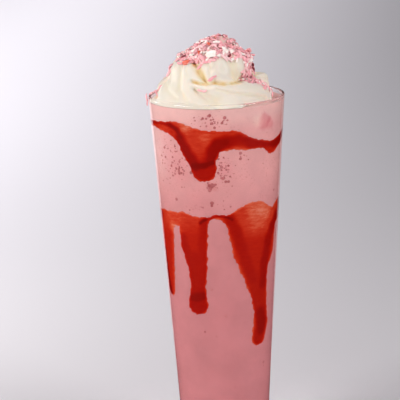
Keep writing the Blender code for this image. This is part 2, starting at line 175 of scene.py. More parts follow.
# Where the sauce runs thicker: how dark, how wide to each side, then azimuth and height along it
UPPER_STRANDS = (
    (0.95, 0.0017, ((-80, 0.1928), (-57, 0.1940), (-46, 0.1934), (-37, 0.1908), (-34, 0.1868))),
    (0.90, 0.0036, ((-35, 0.1868), (-31, 0.1807), (-25, 0.1750), (-21, 0.1706))),
    (0.98, 0.0021, ((-24, 0.1712), (-13, 0.1718), (-3, 0.1742))),
    (0.80, 0.0060, ((-19, 0.1684), (-12, 0.1678), (-6, 0.1702))),
    (0.92, 0.0040, ((-6, 0.1752), (-4, 0.1796), (0, 0.1832), (7, 0.1848))),
    (0.86, 0.0034, ((5, 0.1846), (18, 0.1852), (30, 0.1834), (43, 0.1820), (63, 0.1806))),
    (0.92, 0.0036, ((60, 0.1806), (70, 0.1815), (80, 0.1842), (100, 0.1888), (130, 0.1862))),
    (0.72, 0.0048, ((45, 0.1800), (53, 0.1772))),
    (0.62, 0.0011, ((-15, 0.1904), (-5, 0.1907), (6, 0.1908), (18, 0.1900), (28, 0.1868))),
    (0.60, 0.0030, ((-66, 0.1912), (-53, 0.1904), (-43, 0.1895))),
    (0.88, 0.0038, ((110, 0.1880), (113, 0.1770), (112, 0.1700))),
    (0.88, 0.0038, ((130, 0.1862), (158, 0.1880), (170, 0.1760), (169, 0.1650))),
    (0.88, 0.0036, ((-180, 0.1868), (-150, 0.1842), (-120, 0.1885), (-95, 0.1908), (-80, 0.1922))),
    (0.86, 0.0036, ((-142, 0.1840), (-139, 0.1760), (-140, 0.1695))),
)
LOWER_STRANDS = (
    (0.52, 0.0050, ((-76, 0.1409), (-70, 0.1347), (-67, 0.1236), (-67, 0.1091), (-69, 0.0963))),
    (0.96, 0.0022, ((-78, 0.1200), (-76, 0.1060), (-71, 0.0955))),
    (0.97, 0.0013, ((-19, 0.1395), (-15, 0.1414), (-9, 0.1432), (-3, 0.1443), (6, 0.1434), (12, 0.1412))),
    (0.80, 0.0030, ((-40, 0.1300), (-38, 0.1240), (-34, 0.1168), (-32, 0.1066), (-33, 0.0961))),
    (0.80, 0.0034, ((-14, 0.1405), (-17, 0.1273), (-18, 0.1159), (-19, 0.1015))),
    (0.80, 0.0046, ((-26, 0.1190), (-25, 0.1060), (-26, 0.0990))),
    (0.94, 0.0030, ((-36, 0.0962), (-27, 0.0966), (-19, 0.0978))),
    (0.84, 0.0048, ((-33, 0.0905), (-27, 0.0895), (-21, 0.0912))),
    (0.80, 0.0034, ((9, 0.1425), (16, 0.1342), (21, 0.1260), (27, 0.1165), (36, 0.1050))),
    (0.88, 0.0036, ((72, 0.1385), (64, 0.1330), (57, 0.1260), (52, 0.1141), (50, 0.1011))),
    (0.76, 0.0060, ((40, 0.1040), (43, 0.0960), (47, 0.0880))),
    (0.92, 0.0042, ((48, 0.0850), (51, 0.0800), (50, 0.0750))),
    (0.80, 0.0040, ((47, 0.0730), (46, 0.0690))),
    (0.98, 0.0044, ((83, 0.1460), (91, 0.1318), (96, 0.1200), (97, 0.1060))),
    (0.88, 0.0038, ((100, 0.1420), (120, 0.1405), (134, 0.1300), (133, 0.1150))),
    (0.88, 0.0038, ((133, 0.1400), (160, 0.1425), (172, 0.1300), (172, 0.1120), (171, 0.0950))),
    (0.88, 0.0036, ((-180, 0.1410), (-150, 0.1390), (-146, 0.1200), (-147, 0.1050))),
    (0.88, 0.0036, ((-146, 0.1390), (-120, 0.1400), (-108, 0.1300), (-108, 0.1170))),
    (0.84, 0.0034, ((-112, 0.1395), (-95, 0.1395), (-78, 0.1405))),
)
SAUCE_COLUMNS = 400
SAUCE_ROW = 0.0006
SAUCE_FILLET = 0.003
SAUCE_FRINGE = 0.0014  # the sauce thins out over this width along its outline
SAUCE_FRINGE_SHARE = 0.52  # how dark it still is at the very edge
SAUCE_PALEST = 0.12
SAUCE_MARGIN = 0.0006  # the sheet runs on behind the drink for this far past its outline
SAUCE_DIP = 0.0012  # how far its face dips into the drink there
SAUCE_BACK = 0.0011  # how far inside the wall its back lies
SAUCE_RAGGED = 0.00020  # height of the small waves along the outline
# The waves: how many go round the glass, how much they turn for each metre up, strength, start
SAUCE_WAVES = ((23, 900, 1.0, 0.0), (41, -1500, 0.8, 1.3), (67, 2300, 0.6, 0.4), (97, -700, 0.5, 0.0))
# In a drip: how deep inside it is at its darkest, and from where below the band, over what height
DRIP_MIDDLE = 0.004
DRIP_FROM = 0.004
DRIP_OVER = 0.012
# Where the film is thinnest: how much paler, over which radius, azimuth and height
SAUCE_THIN_PATCHES = (
    (0.22, 0.0050, -29, 0.1925),
    (0.14, 0.0050, -12, 0.1880),
    (0.12, 0.0060, -55, 0.1900),
    (0.20, 0.0075, 36, 0.1475),
    (0.20, 0.0065, 52, 0.1440),
    (0.17, 0.0100, 40, 0.1390),
    (0.10, 0.0080, -50, 0.1420),
    (0.20, 0.0040, -54, 0.1350),
    (0.16, 0.0040, 52, 0.1745),
    (0.14, 0.0050, 20, 0.1800),
)
SAUCE_FILM = 0.49  # darkness of the thin film between thicker strands
SAUCE_IN_DRIP = 0.18  # how much darker it is in the middle of a drip

# Cream: where the swirl's axis stands, and the azimuth where the piped strand starts
CREAM_OFFSET_X = -0.0018
CREAM_OFFSET_Y = -0.0015
STRAND_START = 8.0
# Stations along the strand: degrees along it, distance from the swirl's axis, height above the
# rim and the strand's radius
STRAND = (
    (0, 0.0215, -0.0040, 0.0050),
    (22, 0.0222, -0.0022, 0.0106),
    (50, 0.0218, -0.0010, 0.0110),
    (95, 0.0212, 0.0004, 0.0106),
    (185, 0.0204, -0.0008, 0.0098),
    (275, 0.0195, -0.0010, 0.0096),
    (335, 0.0212, 0.0004, 0.0104),
    (362, 0.0200, 0.0032, 0.0108),
    (388, 0.0178, 0.0072, 0.0112),
    (415, 0.0150, 0.0104, 0.0112),
    (455, 0.0134, 0.0126, 0.0108),
    (540, 0.0100, 0.0150, 0.0102),
    (630, 0.0076, 0.0148, 0.0098),
    (700, 0.0094, 0.0158, 0.0104),
    (728, 0.0088, 0.0174, 0.0106),
    (755, 0.0070, 0.0200, 0.0104),
    (800, 0.0052, 0.0216, 0.0102),
    (880, 0.0036, 0.0226, 0.0102),
    (960, 0.0026, 0.0230, 0.0100),
)
PEAK_LEAN = 0.0048
FILLER_RADIUS = 0.0225
FILLER_HEIGHT = 0.0300
CREAM_COLUMNS = 400
CREAM_ROWS = 190
CREAM_GAP = 0.0002  # between the froth and the cream's underside
CREAM_OUT = 0.08  # rays towards the cream's middle start this far out
PRESS_STEPS = 200  # below the rim the cream is pressed against the glass in small steps
PRESS_SHARE = 0.998  # what one step leaves of its reach
PRESS_OVER_RIM = 0.0006
CREAM_SOFTENING = 7  # how many neighbouring points the strand's own steps are smoothed over
# Where the cream is fuller than the strand: all over, at the front by the rim, low at the right,
# and less so on top of the peak
FULLER_ALL_OVER = 0.0006
FULLER_FRONT = 0.0050
FULLER_LOW_RIGHT = 0.0024
FLATTER_PEAK = 0.0018
# Rounded swellings: how much, then the middle and the half-width in azimuth and in rise
SWELLINGS = (
    (0.0070, 104, 20, 23, 11),
    (0.0032, 90, 27, 43, 13),
    (0.0024, -80, 45, 66, 11),
)
# Creases: depth, how strongly they are painted with golden shade, then azimuth, rise and half-width along
# each
CREASES = (
    (0.0030, 0.84, ((52, 33, 0.0016), (38, 28, 0.0016), (23, 25, 0.0014), (12, 25, 0.0015), (2, 27, 0.0013))),
    (0.0026, 0.84, ((2, 27, 0.0013), (-8, 25, 0.0014), (-16, 25.5, 0.0010), (-24, 27, 0.0008))),
    (
        0.0030,
        1.00,
        ((-6, 26, 0.0012), (-11, 31, 0.0016), (-17, 38, 0.0020), (-25, 46, 0.0021), (-40, 56, 0.0012)),
    ),
    (
        0.0022,
        0.50,
        (
            (-40, 56, 0.0010),
            (-90, 60, 0.0014),
            (-135, 58, 0.0014),
            (-180, 54, 0.0014),
            (-226, 49, 0.0014),
            (-270, 43, 0.0014),
            (-308, 33, 0.0014),
        ),
    ),
    (
        0.0026,
        0.45,
        (
            (52, 33, 0.0014),
            (92, 29, 0.0014),
            (135, 25, 0.0014),
            (180, 21, 0.0014),
            (225, 16, 0.0014),
            (262, 11, 0.0014),
            (292, 6, 0.0010),
        ),
    ),
    (
        0.0016,
        0.22,
        ((-62, 58, 0.0014), (-52, 48, 0.0018), (-43, 33, 0.0018), (-38, 18, 0.0018), (-25, 6, 0.0014)),
    ),
    (0.0010, 0.15, ((-8, 56, 0.0012), (-5, 46, 0.0014), (-3, 32, 0.0012))),
    (0.0028, 0.34, ((32, 60, 0.0022), (34, 50, 0.0030), (36, 41, 0.0032), (38, 31, 0.0026))),
    (0.0026, 0.20, ((-20, 19, 0.0008), (-13, 14, 0.0016), (-5, 9, 0.0024), (3, 4, 0.0036))),
    (0.0014, 0.20, ((4, 19, 0.0010), (23, 13.5, 0.0010), (40, 10, 0.0012), (65, 3, 0.0012))),
    (0.0018, 0.14, ((84, 27, 0.0010), (92, 22, 0.0014), (98, 17, 0.0014), (99, 12, 0.0010))),
    (0.0012, 0.12, ((-72, 24, 0.0010), (-55, 16, 0.0014), (-37, 9, 0.0014))),
    (0.0010, 0.10, ((-84, 40, 0.0010), (-70, 30, 0.0014), (-58, 20, 0.0010))),
)
# The same further round, where the photograph doesn't show: azimuth of each crease's upper end
SIDE_CREASES_LOW = (74, 104, 133, 165, 196, 224, 254)
SIDE_CREASES_HIGH = (84, 122, 158, 197, 236, 272)

# Curls that the photograph singles out: azimuth, rise from the cream's middle, heading, size, kind
# and, where a curl stands up, its tilt
PLACED_PINK = (
    (-86, 31, 80, 1.2, 1),
    (-92, 35, 70, 1.1, 0),
    (-90, 39, 60, 1.0, 1),
    (-72, 16, 40, 0.8, 1),
    (-74, 13, 65, 0.9, 0),
    (-75, 10.5, 40, 0.9, 1),
    (-76, 8, 60, 0.9, 0),
    (-80, 9, 45, 0.9, 1),
    (-22, 47, 62, 1.3, 0),
    (1, 53, 5, 1.0, 1),
    (-2, 30, 35, 0.8, 1),
    (2, 33, 20, 0.7, 0),
    (-9, 17, 10, 0.9, 1),
    (-14, 18, -10, 0.7, 0),
    (-52, 50, 25, 1.0, 0),
    (-60, 53, 50, 1.1, 1),
    (-66, 49, 60, 1.0, 1),
    (-40, 51, 10, 1.0, 1),
    (-56, 46, 0, 0.9, 0),
    (-46, 55, 30, 1.0, 1),
    (80, 5, 85, 1.0, 1),
    (76, 10, 60, 1.0, 0),
    (72, 15, 50, 1.1, 0),
    (66, 21, 50, 1.1, 0),
    (60, 27, 40, 1.1, 1),
    (82, 52, 10, 1.3, 0),
    (88, 53, 10, 1.5, 1, 65),
    (92, 49, 60, 1.4, 0, 50),
    (88, 57, 70, 1.3, 1),
    (76, 57, 40, 1.1, 1),
)
PLACED_WHITE = (
    (0, 58, 20, 1.7, 2),
    (66, 36, 80, 1.0, 0),
    (72, 30, 70, 1.0, 1),
    (60, 44, 70, 1.1, 1),
    (70, 45, 30, 1.1, 2),
    (44, 50, 60, 0.9, 0),
    (30, 66, 60, 1.2, 2),
    (84, 50, 60, 1.1, 1),
)
PLACED_DARK = (
    (66, 33, 20, 1.0, 2),
    (86, 40, 20, 1.4, 1, 60),
    (82, 37, 90, 1.2, 2, 20),
    (62, 22, 60, 0.7, 1),
)
PLACED_RED = (
    (-47, 49, 35, 1.1, 1),
    (-43, 46, 10, 0.8, 0),
)
# Kinds of curl: piece, colour (the pink one has the setting's), how much single curls vary,
# share of all the strewn curls, and those placed one by one
CURL_KINDS = (
    ("curls_pink", None, 0.55, 0.74, PLACED_PINK),
    ("curls_white", (1.0, 0.90, 0.84), 0.15, 0.20, PLACED_WHITE),
    ("curls_dark", (0.30, 0.035, 0.045), 0.30, 0.02, PLACED_DARK),
    ("curls_red", (0.80, 0.12, 0.06), 0.30, 0.02, PLACED_RED),
)
# Forms of curl, in order of name: length, radius of the section, sweep of the section in degrees,
# thickness, radius that the length bends round, slant of the ends and how much they taper
CURL_FORMS = (
    ("curl_a_roll", 0.0042, 0.00085, 200, 0.00042, 0.0070, 0.5, 0.25),
    ("curl_b_half", 0.0044, 0.00120, 120, 0.00050, 0.0046, 0.7, 0.25),
    ("curl_c_flake", 0.0036, 0.00230, 60, 0.00060, 0.0040, 0.5, 0.50),
    ("curl_d_crumb", 0.0017, 0.00080, 300, 0.00065, 0.0200, 0.6, 0.25),
)
FORM_SHARES = (0, 0, 0, 1, 1, 1, 2, 3)  # a strewn curl takes one of these forms
CURL_ABOVE_RIM = 0.0012  # no strewn curl lies lower
CURL_SPREAD = 0.2  # how much the curls' sizes vary
CRUMB_FORM = 3
CRUMB_COUNT = 70
CRUMB_SIZE = 0.6
CRUMB_SPREAD = 0.4
CRUMB_SEED = 9  # added to the setting's seed, as each kind of curl adds its own number
# Curls that hang over the rim at the left: azimuth, height above the rim, gap to the wall, size
RIM_CURLS = (
    (-80, 0.0036, -0.0033, 0.85),
    (-87, 0.0018, -0.0012, 0.80),
    (-85, 0.0004, 0.0012, 0.75),
    (-89, -0.0012, 0.0010, 0.75),
    (-91, -0.0040, 0.0009, 0.75),
)

# Bubbles in the froth, in groups: azimuth, height, spread of each, and how many
BUBBLE_GROUPS = (
    (-8, 0.1965, 15, 0.0020, 34),
    (3, 0.1955, 9, 0.0014, 14),
    (-48, 0.1780, 14, 0.0050, 40),
    (-36, 0.1690, 10, 0.0040, 32),
    (-56, 0.1660, 9, 0.0040, 12),
    (3, 0.1700, 5, 0.0040, 44),
    (9, 0.1640, 7, 0.0022, 14),
    (-7, 0.1606, 5, 0.0012, 20),
    (18, 0.1755, 18, 0.0024, 12),
    (60, 0.1650, 22, 0.0110, 12),
    (110, 0.1600, 24, 0.0100, 34),
    (160, 0.1700, 26, 0.0120, 46),
    (-150, 0.1600, 26, 0.0100, 40),
    (-110, 0.1700, 20, 0.0110, 26),
    (-10, 0.1490, 34, 0.0030, 12),
    (20, 0.0900, 180, 0.0300, 24),
)
LONE_BUBBLES = (
    (-45, 0.1516, 1.5),
    (-7, 0.1509, 1.7),
    (-16, 0.1483, 0.9),
    (4, 0.1952, 1.3),
    (-39, 0.1675, 1.5),
    (-26, 0.1676, 1.6),
    (3, 0.1709, 1.4),
    (9, 0.1627, 1.4),
    (0, 0.1673, 1.1),
    (-44, 0.1660, 1.2),
    (-47, 0.1648, 1.0),
    (-42, 0.1690, 1.1),
    (-9, 0.1608, 1.5),
    (-7, 0.1602, 1.7),
    (-5, 0.1609, 1.6),
    (-3, 0.1613, 1.2),
    (-8, 0.1598, 1.1),
    (-6, 0.1613, 1.3),
)

BUBBLE_FLATNESS = 0.27  # a bubble's depth as a share of its radius
BUBBLE_SPREAD = 0.1

# Spots that tint the froth darker or paler, the three paler ones at its sides painted light: azimuth, height,
# radius, softness and tint
FROTH_SPOTS_AND_PAINTED_LIGHT = (
    (45, 0.1940, 0.0056, 0.50, (0.90, 0.66, 0.70)),
    (38, 0.1952, 0.0048, 0.70, (1.06, 1.22, 1.16)),
    (52, 0.1915, 0.0040, 0.60, (0.93, 0.72, 0.76)),
    (-48, 0.1780, 0.0160, 1.00, (0.97, 0.87, 0.89)),
    (-36, 0.1680, 0.0120, 1.00, (0.97, 0.87, 0.89)),
    (4, 0.1700, 0.0080, 1.00, (0.96, 0.85, 0.88)),
    (-7, 0.1606, 0.0042, 0.80, (0.94, 0.78, 0.79)),
    (-8, 0.1960, 0.0110, 1.00, (0.95, 0.86, 0.87)),
    # Painted light: these three paler patches brighten the froth at its right and left sides.
    (62, 0.1660, 0.0200, 1.00, (1.03, 1.06, 1.05)),
    (-72, 0.1790, 0.0260, 1.00, (1.08, 1.34, 1.34)),
    (-75, 0.1620, 0.0160, 1.00, (1.03, 1.08, 1.06)),
    (-20, 0.1520, 0.0130, 1.00, (0.98, 0.92, 0.93)),
    (170, 0.1700, 0.0160, 1.00, (0.96, 0.86, 0.88)),
    (-130, 0.1620, 0.0140, 1.00, (0.96, 0.87, 0.89)),
)

# Lamps: name, place, what it points at, width and length, watts, colour and spread in degrees
LAMPS = (
    ("key", (-1.12, -0.69, 0.58), (0, 0, 0.16), (0.8, 0.5), 14.7, (1.0, 0.985, 0.965), 180),
    ("fill", (1.14, -0.74, 0.50), (0, 0, 0.13), (0.8, 0.5), 3.5, (1.0, 0.975, 0.98), 90),
    ("top", (-0.05, 0.10, 1.1), (0.01, 0, 0.225), (0.12, 0.12), 0.027, (1.0, 0.96, 0.97), 14),
    ("side", (-0.38, 0.22, 0.30), (-0.10, 0.18, 0), (0.2, 0.2), 0.55, (1.0, 0.98, 0.97), 180),
)
# A long lamp over the floor behind the glass: place, turn in degrees, and the rest as above
WASH_PLACE = (-0.34, 1.80, 0.9)
WASH_TURN = (6, 0, -6)
WASH = ((0.3, 3.0), 9.0, (0.98, 0.97, 1.0), 100)
WORLD_COLOUR = (0.93, 0.92, 0.95, 1.0)
WORLD_STRENGTH = 0.17
# The floor in two parts, split so that only the wedge straight behind the glass mirrors in it
FLOOR_BEHIND = ((0, 0.04, 0), (4, 6, 0), (-4, 6, 0))
FLOOR_AROUND = ((0, 0.04, 0), (-4, 6, 0), (-6, 6, 0), (-6, -6, 0), (6, -6, 0), (6, 6, 0), (4, 6, 0))

# Camera, from the photograph's perspective
CAMERA_PLACE = (-0.000084, -1.049712, 0.382430)
CAMERA_PITCH = 12.719
CAMERA_YAW = -0.580
CAMERA_ROLL = -1.679
CAMERA_LENS = 174.09
SENSOR = 36.0

# What every colour setting has
COLOUR = {"size": 3, "min": 0, "max": 1}


class MilkshakeSettings(bpy.types.PropertyGroup):
    """Sizes and colours of the milkshake."""

    drink_colour: FloatVectorProperty(
        name="Drink",
        description="Colour of the milkshake low in the glass",
        default=(0.560, 0.195, 0.205),
        subtype="COLOR",
        **COLOUR,
    )
    froth_colour: FloatVectorProperty(
        name="Froth",
        description="Colour of the froth below the cream",
        default=(0.740, 0.350, 0.335),
        subtype="COLOR",
        **COLOUR,
    )
    sauce_colour: FloatVectorProperty(
        name="Sauce",
        description="Colour of the sauce where it runs thick",
        default=(0.335, 0.003, 0.0005),
        subtype="COLOR",
        **COLOUR,
    )
    cream_colour: FloatVectorProperty(
        name="Cream",
        description="Colour of the whipped cream",
        default=(0.780, 0.715, 0.615),
        subtype="COLOR",
        **COLOUR,
    )
    pink_colour: FloatVectorProperty(
        name="Pink curls",
        description="Colour of most of the chocolate curls",
        default=(1.000, 0.450, 0.490),
        subtype="COLOR",
        **COLOUR,
    )
    curl_size: FloatProperty(
        name="Curl size",
        description="Scale of every curl",
        min=0.5,
        max=1.5,
        default=0.9,
    )
    curl_count: IntProperty(
        name="Curls",
        description="Number of curls strewn on the cream",
        min=20,
        max=800,
        default=560,
    )
    bubble_size: FloatProperty(
        name="Bubble size",
        description="Radius of a middling bubble at the wall",
        subtype="DISTANCE",
        unit="LENGTH",
        min=0.0001,
        max=0.002,
        default=0.00058,
    )
    seed: IntProperty(
        name="Seed",
        description="Seed of everything that lies at random",
        min=0,
        default=11,
    )


def outer_radius(height):
    return RIM_RADIUS - TAPER * (GLASS_HEIGHT - height)


def inner_radius(height):
    share = height / GLASS_HEIGHT
    return outer_radius(height) - (WALL_AT_FOOT + (WALL_AT_RIM - WALL_AT_FOOT) * share)


def on_wall(azimuth, height, radius):
    """The point at this azimuth, in degrees, on a circle round the glass's axis."""
    turn = math.radians(azimuth)
    return Vector((radius * math.sin(turn), -radius * math.cos(turn), height))


def round_from(middle, azimuth):
    """Degrees round the glass from one azimuth to another, between -180 and 180."""
    return (azimuth - middle + 180) % 360 - 180


def arc(centre, radius, start, end, steps):
    """Profile points (radius, height) along an arc, both ends included, angles in degrees."""
    angles = np.radians(np.linspace(start, end, steps + 1))
    return [(centre[0] + radius * math.cos(a), centre[1] + radius * math.sin(a)) for a in angles]


def cavity_profile(grow):
    """The dished floor of the glass's inside, from the axis out to where the wall begins."""
    height = BASE_THICKNESS + CAVITY_FILLET
    centre = (inner_radius(height) - CAVITY_FILLET, height)
    return [(0.0, BASE_THICKNESS - grow)] + arc(centre, CAVITY_FILLET + grow, -90, 0, 10)


def eased(share):
    share = np.clip(share, 0.0, 1.0)
    return share * share * (3 - 2 * share)


def mesh_piece(name, points, faces):
    """A smooth-shaded mesh object at the origin."""
    mesh = bpy.data.meshes.new(name)
    mesh.from_pydata([tuple(p) for p in points], [], faces)
    mesh.validate()
    mesh.shade_smooth()
    piece = bpy.data.objects.new(name, mesh)
    bpy.context.scene.collection.objects.link(piece)
    return piece


def store(mesh, name, values, kind="FLOAT", field="value"):
    """Keeps a value for each point under a name that the materials and nodes read."""
    attribute = mesh.attributes.new(name, kind, "POINT")
    number = np.int32 if kind == "INT" else np.float32
    attribute.data.foreach_set(field, np.array(values).astype(number).ravel())


def between_rings(start, following, count):
    """The faces between two rings of points, from the number of each ring's first point."""
    ends = [(k + 1) % count for k in range(count)]
    return [(start + k, start + n, following + n, following + k) for k, n in enumerate(ends)]


def finish_piece(piece, slot, finish, *nodes):
    """Gives a piece its material, lets it ride on the glass and hides the solids it stands for."""
    piece.data.materials.clear()
    piece.data.materials.append(finish)
    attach(piece, "root")
    if nodes:
        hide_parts(*nodes)


def face_outwards(piece):
    bm = bmesh.new()
    bm.from_mesh(piece.data)
    bmesh.ops.remove_doubles(bm, verts=bm.verts, dist=1e-7)
    bmesh.ops.recalc_face_normals(bm, faces=bm.faces)
    bm.to_mesh(piece.data)
    bm.free()


def turned(name, profile, facets=GLASS_FACETS):
    """A closed profile (radius, height) that starts and ends on the axis, spun round it."""
    points, faces, rows = [], [], []
    for radius, height in profile:
        if radius < 1e-9:
            rows.append([len(points)])
            points.append((0.0, 0.0, height))
            continue
        rows.append(list(range(len(points), len(points) + facets)))
        points += [on_wall(360 * k / facets, height, radius) for k in range(facets)]
    for row, following in zip(rows, rows[1:]):
        for k in range(facets):
            n = (k + 1) % facets
            corners = [row[k % len(row)], row[n % len(row)]]
            corners += [following[n % len(following)], following[k % len(following)]]
            faces.append(list(dict.fromkeys(corners)))
    piece = mesh_piece(name, points, faces)
    face_outwards(piece)
    return piece


def sharpen(piece, angle):
    piece.data.set_sharp_from_angle(angle=math.radians(angle))


# Shader nodes


def feed(tree, source, socket):
    """Links a node's output to the socket, or sets the socket to a value."""
    if isinstance(source, bpy.types.NodeSocket):
        tree.links.new(source, socket)
    else:
        socket.default_value = source


def set_inputs(tree, node, **values):
    """Feeds the inputs that are named, with _ for a space."""
    for name, value in values.items():
        feed(tree, value, node.inputs[name.replace("_", " ")])
    return node


def add_node(tree, kind, **values):
    """A node with its settings and, where a name starts with a capital, its inputs."""
    node = tree.nodes.new(kind)
    for name, value in values.items():
        if name[0].isupper():
            set_inputs(tree, node, **{name: value})
        else:
            setattr(node, name, value)
    return node


def maths(tree, operation, *values, kind="ShaderNodeMath", use_clamp=False):
    """What a maths node makes of its inputs, in their order."""
    node = add_node(tree, kind, operation=operation)
    if use_clamp:
        node.use_clamp = True
    for socket, value in zip(node.inputs, values):
        feed(tree, value, socket)
    return node.outputs[0]


def ranged(tree, value, low, high, to_low=0.0, to_high=1.0, kind="LINEAR"):
    """The value carried from one range over to another and held at its ends."""
    node = add_node(tree, "ShaderNodeMapRange", interpolation_type=kind, Value=value)
    set_inputs(tree, node, From_Min=low, From_Max=high, To_Min=to_low, To_Max=to_high)
    return node.outputs["Result"]


def attribute(tree, name):
    return add_node(tree, "ShaderNodeAttribute", attribute_name=name).outputs["Fac"]


def object_place(tree):
    return add_node(tree, "ShaderNodeTexCoord").outputs["Object"]


def add_bump(tree, shader, height, strength, distance):
    bump = add_node(tree, "ShaderNodeBump", Strength=strength, Distance=distance, Height=height)
    set_inputs(tree, shader, Normal=bump.outputs["Normal"])


def new_material(name, viewport_colour):
    finish = bpy.data.materials.new(name)
    finish.use_nodes = True
    finish.diffuse_color = (*viewport_colour, 1.0)
    return finish, finish.node_tree, finish.node_tree.nodes["Principled BSDF"]


def new_group(name, tree_type, inputs, outputs):
    """A node group, what its input node gives, and its output node."""
    group = bpy.data.node_groups.new(name, tree_type)
    for label, kind, *default in inputs:
        socket = group.interface.new_socket(label, in_out="INPUT", socket_type=f"NodeSocket{kind}")
        if default:
            socket.default_value = default[0]
    for label, kind in outputs:
        group.interface.new_socket(label, in_out="OUTPUT", socket_type=f"NodeSocket{kind}")
    return group, group.nodes.new("NodeGroupInput").outputs, group.nodes.new("NodeGroupOutput")


def mottled(tree, scale, amount, detail, colour=None):
    """The outputs of a mottle group: the colour made uneven, and a height for a bump."""
    node = add_node(tree, "ShaderNodeGroup", node_tree=mottle_group())
    set_inputs(tree, node, Scale=scale, Amount=amount, Detail=detail)
    if colour is not None:
        set_inputs(tree, node, Colour=colour)
    return node.outputs["Colour"], node.outputs["Height"]


def mottle_group():
    """Soft light and dark mottling of a colour, with a height for a bump."""
    found = bpy.data.node_groups.get("mottle")
    if found:
        return found
    group, given, leave = new_group(
        "mottle",
        "ShaderNodeTree",
        (
            ("Colour", "Color", (0.8, 0.8, 0.8, 1.0)),
            ("Scale", "Float", 200.0),
            ("Amount", "Float", 0.1),
            ("Detail", "Float", 4.0),
        ),
        (("Colour", "Color"), ("Height", "Float")),
    )
    noise = add_node(group, "ShaderNodeTexNoise", Vector=object_place(group), Roughness=0.6)
    set_inputs(group, noise, Scale=given["Scale"], Detail=given["Detail"])
    height = noise.outputs["Fac"]
    centred = maths(group, "SUBTRACT", height, 0.5)
    swing = maths(group, "MULTIPLY_ADD", centred, given["Amount"], 1.0)
    tint = add_node(group, "ShaderNodeVectorMath", operation="SCALE", Scale=swing)
    feed(group, given["Colour"], tint.inputs[0])
    set_inputs(group, leave, Colour=tint.outputs[0], Height=height)
    return group


def fine_foam_group():
    """Fine specks of foam: a mask of small cells, thinned out by a broad noise."""
    found = bpy.data.node_groups.get("fine_foam")
    if found:
        return found
    group, given, leave = new_group(
        "fine_foam",
        "ShaderNodeTree",
        (("Scale", "Float", 900.0), ("Fill", "Float", 0.5)),
        (("Speck", "Float"),),
    )
    place = object_place(group)
    cells = add_node(group, "ShaderNodeTexVoronoi", Vector=place, Scale=given["Scale"])
    core = ranged(group, cells.outputs["Distance"], 0.10, 0.34, 1.0, 0.0, "SMOOTHSTEP")
    broad = add_node(group, "ShaderNodeTexNoise", Vector=place, Scale=90.0, Detail=2.0)
    gate = ranged(group, broad.outputs["Fac"], 0.42, 0.62, 0.0, given["Fill"], "SMOOTHSTEP")
    set_inputs(group, leave, Speck=maths(group, "MULTIPLY", core, gate))
    return group


def colour_ramp(tree, source, stops):
    ramp = add_node(tree, "ShaderNodeValToRGB", Fac=source)
    elements = ramp.color_ramp.elements
    while len(elements) > 1:
        elements.remove(elements[-1])
    elements[0].position = stops[0][0]
    elements[0].color = (*stops[0][1], 1.0)
    for place, colour in stops[1:]:
        element = elements.new(place)
        element.color = (*colour, 1.0)
    return ramp.outputs["Color"]


def mixed(a, b, share):
    return tuple(x + (y - x) * share for x, y in zip(a, b))


def tinted(tree, colour, share, tint):
    """The colour multiplied by a tint as far as the share says."""
    blend = add_node(tree, "ShaderNodeMix", data_type="RGBA", blend_type="MULTIPLY", Factor=share)
    entries = [socket for socket in blend.inputs if socket.type == "RGBA"]
    feed(tree, colour, entries[0])
    feed(tree, (*tint, 1.0), entries[1])
    return next(socket for socket in blend.outputs if socket.type == "RGBA")


def tinted_spot(tree, place, colour, azimuth, height, radius, softness, tint):
    """The colour tinted in a round spot on the wall."""
    away = add_node(tree, "ShaderNodeVectorMath", operation="DISTANCE")
    feed(tree, place, away.inputs[0])
    feed(tree, on_wall(azimuth, height, inner_radius(height)), away.inputs[1])
    edge = radius * (1 - softness)
    mask = ranged(tree, away.outputs["Value"], edge, radius, 1.0, 0.0, "SMOOTHSTEP")
    return tinted(tree, colour, mask, tint)


def glass_material():
    """Clear glass that lets lamps and soft light straight through, with faint smudges."""
    finish, tree, shader = new_material("clear_glass", (0.9, 0.95, 1.0))
    smudge = ranged(tree, mottled(tree, 60.0, 1.0, 3.0)[1], 0.45, 0.75, 0.0, 0.05)
    set_inputs(tree, shader, Base_Color=(1.0, 1.0, 1.0, 1.0), Roughness=smudge)
    set_inputs(tree, shader, Transmission_Weight=1.0, IOR=1.5)
    path = add_node(tree, "ShaderNodeLightPath").outputs
    soft = maths(tree, "MAXIMUM", path["Is Shadow Ray"], path["Is Diffuse Ray"])
    clear = add_node(tree, "ShaderNodeBsdfTransparent")
    mix = add_node(tree, "ShaderNodeMixShader")
    for source, socket in zip((soft, shader.outputs[0], clear.outputs[0]), mix.inputs):
        feed(tree, source, socket)
    set_inputs(tree, tree.nodes["Material Output"], Surface=mix.outputs[0])
    return finish


def drifted(tree, place):
    """The place moved a little to and fro, so that the round spots get uneven edges."""
    noise = add_node(tree, "ShaderNodeTexNoise", Vector=place, Scale=170.0, Detail=2.0)
    middle, sway = (0.5, 0.5, 0.5), (0.006, 0.006, 0.006)
    kind = "ShaderNodeVectorMath"
    centred = maths(tree, "SUBTRACT", noise.outputs["Color"], middle, kind=kind)
    return maths(tree, "MULTIPLY_ADD", centred, sway, place, kind=kind)


